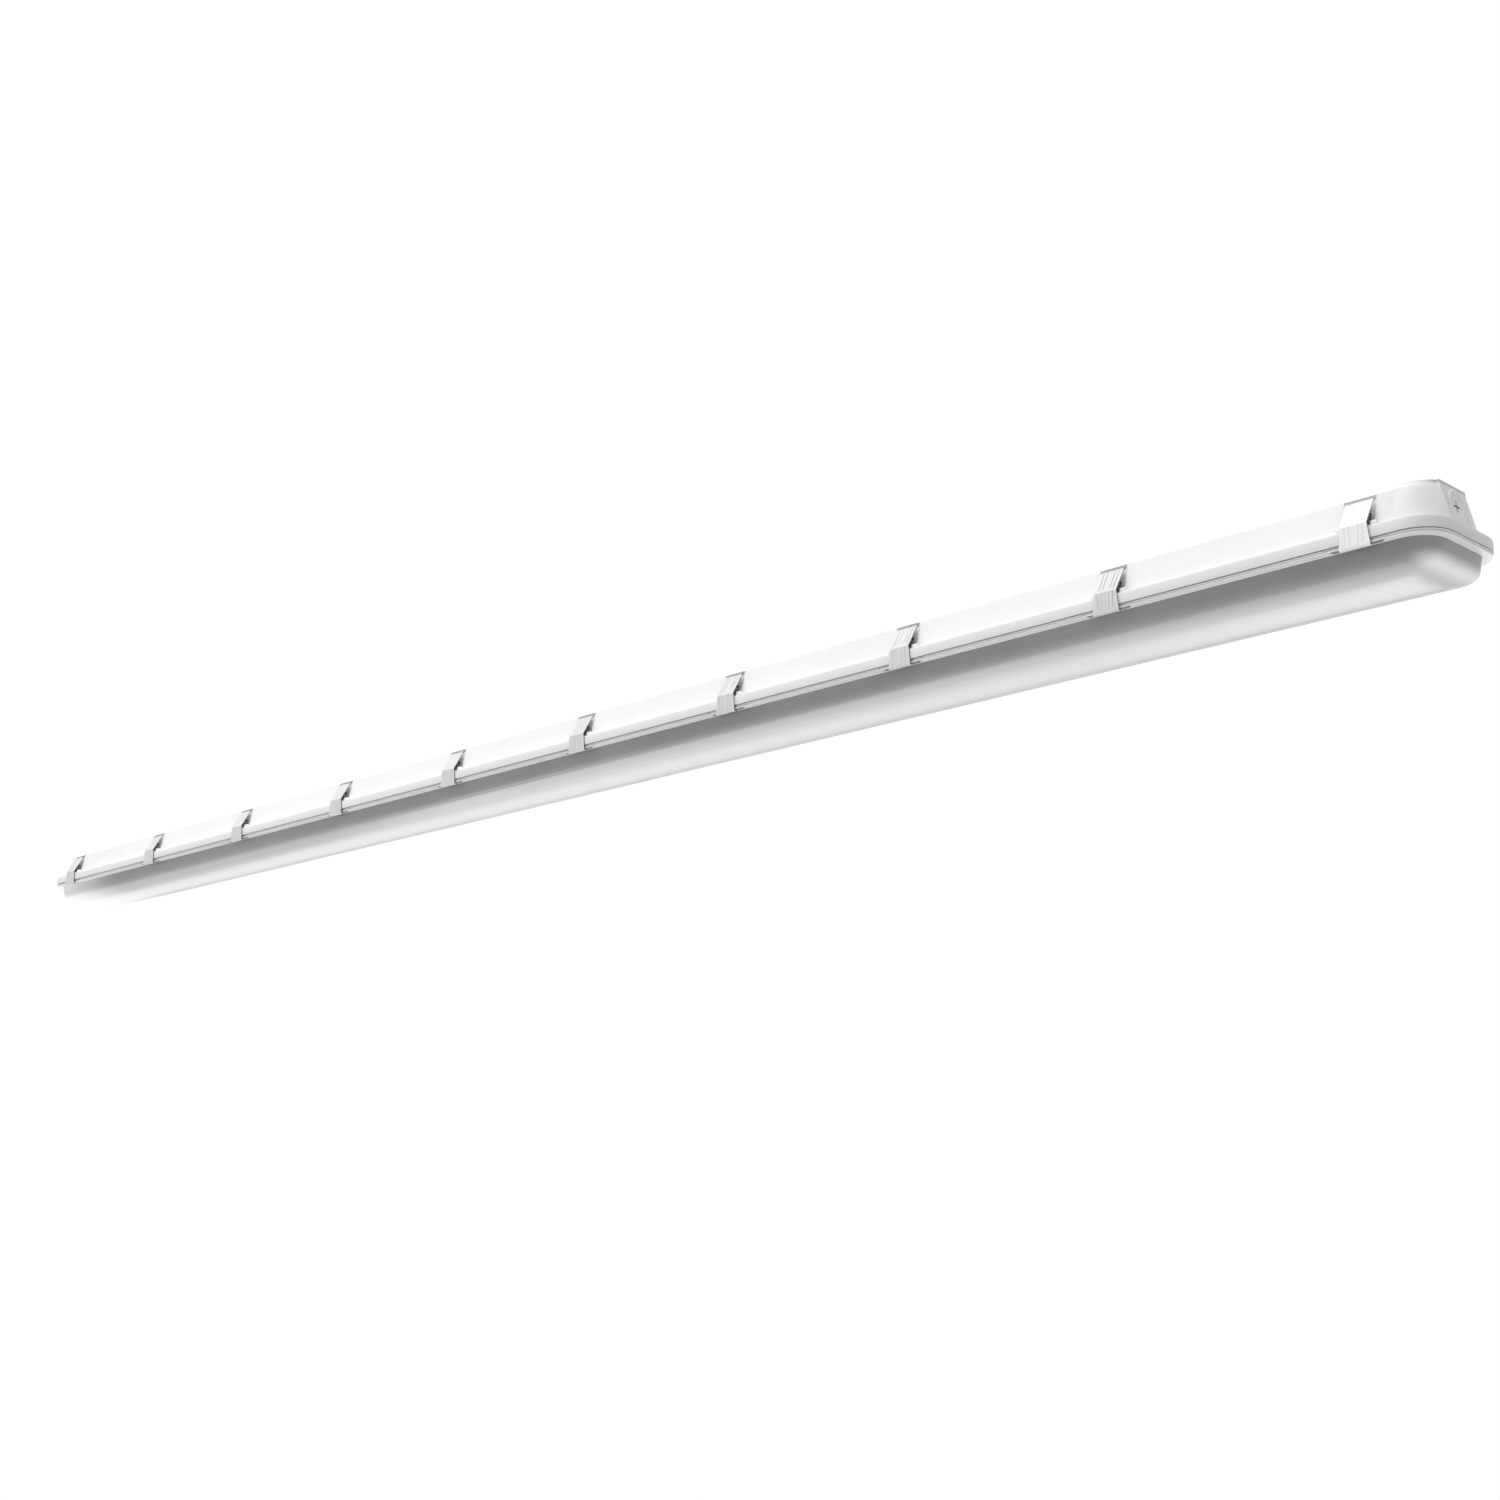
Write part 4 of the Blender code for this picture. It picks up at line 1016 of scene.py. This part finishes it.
def add_tab(bm, across, x, side):
    """Flat blank with the outline's points as (outward, up), standing across the fixture."""
    rings = []
    for face in (-TAB_SHEET / 2, TAB_SHEET / 2):
        rings.append([bm.verts.new((x + across + face, side * a, b)) for a, b in TAB_OUTLINE])
    made = [bm.faces.new(rings[0]), bm.faces.new(rings[1][::-1])]
    for i, j in around(len(TAB_OUTLINE)):
        made.append(bm.faces.new((rings[0][i], rings[1][i], rings[1][j], rings[0][j])))
    # Painted shade: the tabs take the near-black tab material.
    for face in made:
        face.material_index = TAB_SLOT


def add_ear(bm, across, x, side):
    """Ring around the bar with a neck that reaches the sheet."""
    slope = (PLATE_TOP - PLATE_BEND).normalized()
    facing = Vector((slope.y, -slope.x))
    reach = (PLATE_BEND - BAR_PIVOT).dot(facing) + SHEET / 3
    outer = []
    hole = []
    for step in range(EAR_POINTS):
        angle = 2 * math.pi * step / EAR_POINTS
        way = facing * math.cos(angle) + slope * math.sin(angle)
        if NECK_WAY < way.dot(facing) < NECK_MIDDLE_WAY:
            point = facing * reach + slope * EAR_RADIUS * (1 if way.dot(slope) > 0 else -1)
        elif way.dot(facing) > NECK_WAY:
            point = way * reach
        else:
            point = way * EAR_RADIUS
        outer.append(BAR_PIVOT + point)
        hole.append(BAR_PIVOT + way * EAR_HOLE)
    rings = []
    for outline in (outer, hole):
        for face in (-EAR_SHEET / 2, EAR_SHEET / 2):
            rings.append([bm.verts.new((x + across + face, side * p.x, p.y)) for p in outline])
    # Painted shade: the ears take the dark edge material.
    for i, j in around(EAR_POINTS):
        for a, b in ((0, 1), (1, 3), (3, 2), (2, 0)):
            face = bm.faces.new((rings[a][i], rings[b][i], rings[b][j], rings[a][j]))
            face.material_index = EDGE_SLOT


print("ear points", 4 * EAR_POINTS, "tab points", 2 * len(TAB_OUTLINE))

# %% [markdown]
# ## All twenty levers
# The cut edges of a stamped part are rougher than its faces. The edges, the ears and the folded
# tabs are darker with painted shade, the tabs nearly black, and so are the upper lines. So the
# edges, the upper lines and the tabs take the second, third and fourth material of the mesh. The
# latch nearest to the camera takes a brighter copy of the steel, a painted highlight, lines and
# all, and all others share the satin finish.

# %% Levers


def lever_mesh(x, side):
    bm = bmesh.new()
    add_sheet(bm, x, side)
    for across in (-EAR_SPACING / 2, EAR_SPACING / 2):
        add_ear(bm, across, x, side)
    for across in (-TAB_OFFSET, TAB_OFFSET):
        add_tab(bm, across, x, side)
    bmesh.ops.recalc_face_normals(bm, faces=bm.faces)
    return mesh_of(bm, "lever")


# The edge, tab and line materials are dark with painted shade.
latch_edge_painted_shade = make_material(
    "latch cut edge painted shade", BRUSHED,
    {"Base": grey(0.22), "Streak": grey(0.13), "Streak Scale": 1500.0, "Roughness": 0.50},
    Metallic=1.0)
latch_tab_painted_shade = make_material(
    "latch folded tab painted shade", BRUSHED,
    {"Base": grey(0.06), "Streak": grey(0.03), "Roughness": 0.50}, Metallic=1.0)
latch_line_painted_shade = make_material(
    "latch pressed line painted shade", BRUSHED,
    {"Base": grey(0.30), "Streak": grey(0.22), "Roughness": 0.50}, Metallic=0.5)
# Painted highlight: the nearest latch takes the brighter steel, on its lines too.
NEAREST_LATCH = f"front_{LATCHES_PER_SIDE:02d}"
for place, x, side in latch_places():
    lever = lever_mesh(x, side)
    nearest = place == NEAREST_LATCH
    finish_mesh(lever, latch_painted_highlight if nearest else latch_satin)
    for look in (latch_edge_painted_shade, latch_painted_highlight if nearest else latch_line_painted_shade, latch_tab_painted_shade):
        lever.materials.append(look)
    place_piece(f"lever_sheet_{place}", lever, nodes[f"lever_{place}"]["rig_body"],
                f"lever_{place}")
print("levers", 2 * LATCHES_PER_SIDE, "faces each", len(lever.polygons))

# %% [markdown]
# ## The light boards
# Four boards carry two rows of light chips each. They show only when the cover is off, but a
# part that is opened should not be empty. The chips repeat at an even pitch, so a tree sets one
# chip on each point of a small point mesh. Each chip is a pale body with a yellow face.

# %% Light boards
CHIP_BODY = 0.0030
CHIP_FACE = 0.0024
CHIP_RISE = 0.0006
CHIP_FACE_RISE = 0.0007
CHIP_SIDES = 8
CHIPS_PER_ROW = 8
CHIP_ROW_SPACING = 0.020
BOARD_THICKNESS = 0.0016
BOARD_CHAMFER = 0.0003


def chip_tree():
    tree, given, out = new_geometry_tree("light chips", [
        ("Size", "NodeSocketFloat", CHIP_BODY),
        ("Rise", "NodeSocketFloat", CHIP_RISE),
        ("Sides", "NodeSocketInt", CHIP_SIDES),
        ("Look", "NodeSocketMaterial", None)])
    height = add_math(tree, "MULTIPLY", given["Rise"], 2.0)
    chip = add_geometry_node(tree, "GeometryNodeMeshCylinder",
                             {"Vertices": given["Sides"], "Depth": height})
    radius = add_math(tree, "DIVIDE", given["Size"], 2.0)
    put(tree, chip.inputs["Radius"], radius)
    spread = add_geometry_node(tree, "GeometryNodeInstanceOnPoints",
                               {"Points": given["Geometry"], "Instance": chip.outputs["Mesh"]})
    close_tree(tree, out, spread.outputs["Instances"], given["Look"])
    return tree


def chip_points(low, high):
    """Point mesh with a point at the foot of each chip of one board."""
    face = high.z - BOARD_THICKNESS
    pitch = (high.x - low.x) / CHIPS_PER_ROW
    middle = (low.y + high.y) / 2
    points = []
    for index in range(CHIPS_PER_ROW):
        for row in (-1, 1):
            points.append((low.x + (index + 0.5) * pitch, middle + row * CHIP_ROW_SPACING / 2,
                           face))
    mesh = bpy.data.meshes.new("points")
    mesh.from_pydata(points, [], [])
    return mesh


def board_plate(low, high):
    """Board with chamfered edges, as one closed body."""
    bm = bmesh.new()
    bmesh.ops.create_cube(bm, size=1.0)
    face = high.z - BOARD_THICKNESS
    for vert in bm.verts:
        vert.co = ((low.x, high.x)[vert.co.x > 0], (low.y, high.y)[vert.co.y > 0],
                   (face, high.z)[vert.co.z > 0])
    bmesh.ops.bevel(bm, geom=list(bm.edges), offset=BOARD_CHAMFER, segments=BEVEL_SEGMENTS,
                    affect="EDGES")
    return mesh_of(bm, "board")


CHIP_TREE = chip_tree()
for name in [n for n in nodes if n.startswith("led_board")]:
    low, high = (Vector(corner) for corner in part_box(name))
    body = nodes[name]["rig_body"]
    plate = board_plate(low, high)
    finish_mesh(plate, board_white)
    place_piece(name + "_plate", plate, body, name)
    for label, size, rise, look in (("body", CHIP_BODY, CHIP_RISE, terminal_grey),
                                    ("face", CHIP_FACE, CHIP_FACE_RISE, chip_yellow)):
        chips = run_tree(CHIP_TREE, chip_points(low, high),
                         {"Size": size, "Rise": rise, "Sides": CHIP_SIDES, "Look": look})
        finish_mesh(chips, look)
        place_piece(f"{name}_chip_{label}", chips, body)
print("boards", sum(n.startswith("led_board") for n in nodes), "chips each", 2 * CHIPS_PER_ROW)

# %% [markdown]
# ## Background
# The photograph has a white background that doesn't light the fixture. Light Path makes that
# possible: rays that look at the world or the floor, straight or in a reflection, see plain
# white, and all other rays meet a softer grey world and a plain pale floor. A brighter world
# would do it too, but it would burn out the white plastic. The floor is far below, as the
# fixture hangs from a ceiling.

# %% Background
BACKGROUND = grey(1.0)
AMBIENT = grey(0.37)
FLOOR_DROP = 1.6
FLOOR_SIZE = 6.0
FLOOR_COLOUR = grey(0.85)
FLOOR_ROUGHNESS = 0.9


def seen_directly(tree):
    """1 for rays that see a surface in the camera, a reflection or clear plastic."""
    path = add_node(tree, "ShaderNodeLightPath").outputs
    either = add_math(tree, "MAXIMUM", path["Is Camera Ray"], path["Is Glossy Ray"])
    return add_math(tree, "MAXIMUM", either, path["Is Transmission Ray"])


def make_world():
    world = bpy.data.worlds.new("studio")
    scene.world = world
    world.use_nodes = True
    tree = world.node_tree
    background = tree.nodes["Background"]
    background.inputs["Strength"].default_value = 1.0
    put(tree, background.inputs["Color"], add_mix(tree, seen_directly(tree), AMBIENT, BACKGROUND))


def make_floor():
    bm = bmesh.new()
    bmesh.ops.create_grid(bm, x_segments=1, y_segments=1, size=FLOOR_SIZE)
    floor = bpy.data.objects.new("floor", mesh_of(bm, "floor"))
    floor.location = (0.0, 0.0, -FLOOR_DROP)
    scene.collection.objects.link(floor)
    mat = bpy.data.materials.new("floor pale")
    mat.use_nodes = True
    tree = mat.node_tree
    shader = tree.nodes["Principled BSDF"]
    shader.inputs["Base Color"].default_value = FLOOR_COLOUR
    shader.inputs["Roughness"].default_value = FLOOR_ROUGHNESS
    glow = add_node(tree, "ShaderNodeEmission")
    glow.inputs["Color"].default_value = BACKGROUND
    mix = add_node(tree, "ShaderNodeMixShader")
    put(tree, mix.inputs["Fac"], seen_directly(tree))
    put(tree, mix.inputs[1], shader.outputs["BSDF"])
    put(tree, mix.inputs[2], glow.outputs["Emission"])
    put(tree, tree.nodes["Material Output"].inputs["Surface"], mix.outputs["Shader"])
    floor.data.materials.append(mat)


make_world()
make_floor()
print("floor at", -FLOOR_DROP)

# %% [markdown]
# ## Soft light
# A long softbox above and in front lights the wall, the rim and the leaning plates. It is two
# lamps in one place, of which only one shows in the gloss, as through a polarising filter. With
# all of its light in the glare, the steel plates that face it would burn white. A weaker lamp
# from below and behind lifts the crown of the cover, as a pale floor would, and two small ones
# lift the ends. The large ones are far away, so no edge of a shadow shows.

# %% Lamps
SOFTBOX_PLACE = (-0.4, -0.9, 3.4)
SOFTBOX_TARGET = (-0.3, 0.0, 0.0)
SOFTBOX_SIZE = (4.6, 2.6)


def make_lamp(name, place, target, size, watts, glare=True):
    """Area lamp of a width and a height in metres, turned to its target."""
    lamp = bpy.data.objects.new(name, bpy.data.lights.new(name, "AREA"))
    lamp.data.shape = "RECTANGLE"
    lamp.data.size, lamp.data.size_y = size
    lamp.data.energy = watts
    lamp.location = place
    aim = Vector(target) - Vector(place)
    lamp.rotation_euler = aim.to_track_quat("-Z", "Y").to_euler()
    lamp.visible_glossy = glare
    scene.collection.objects.link(lamp)


make_lamp("high softbox", SOFTBOX_PLACE, SOFTBOX_TARGET, SOFTBOX_SIZE, 90.0, glare=False)
make_lamp("high softbox glare", SOFTBOX_PLACE, SOFTBOX_TARGET, SOFTBOX_SIZE, 135.0)
make_lamp("low back fill", (-0.7, 1.2, -1.4), (-0.4, 0.0, -0.05), (3.4, 1.0), 15.0)
make_lamp("near end fill", (1.5, 0.0, -1.5), (1.2, 0.0, -0.08), (0.5, 0.5), 0.6)
make_lamp("far end fill", (-1.7, -0.5, -1.4), (-1.2, 0.0, -0.08), (0.4, 0.4), 2.2)
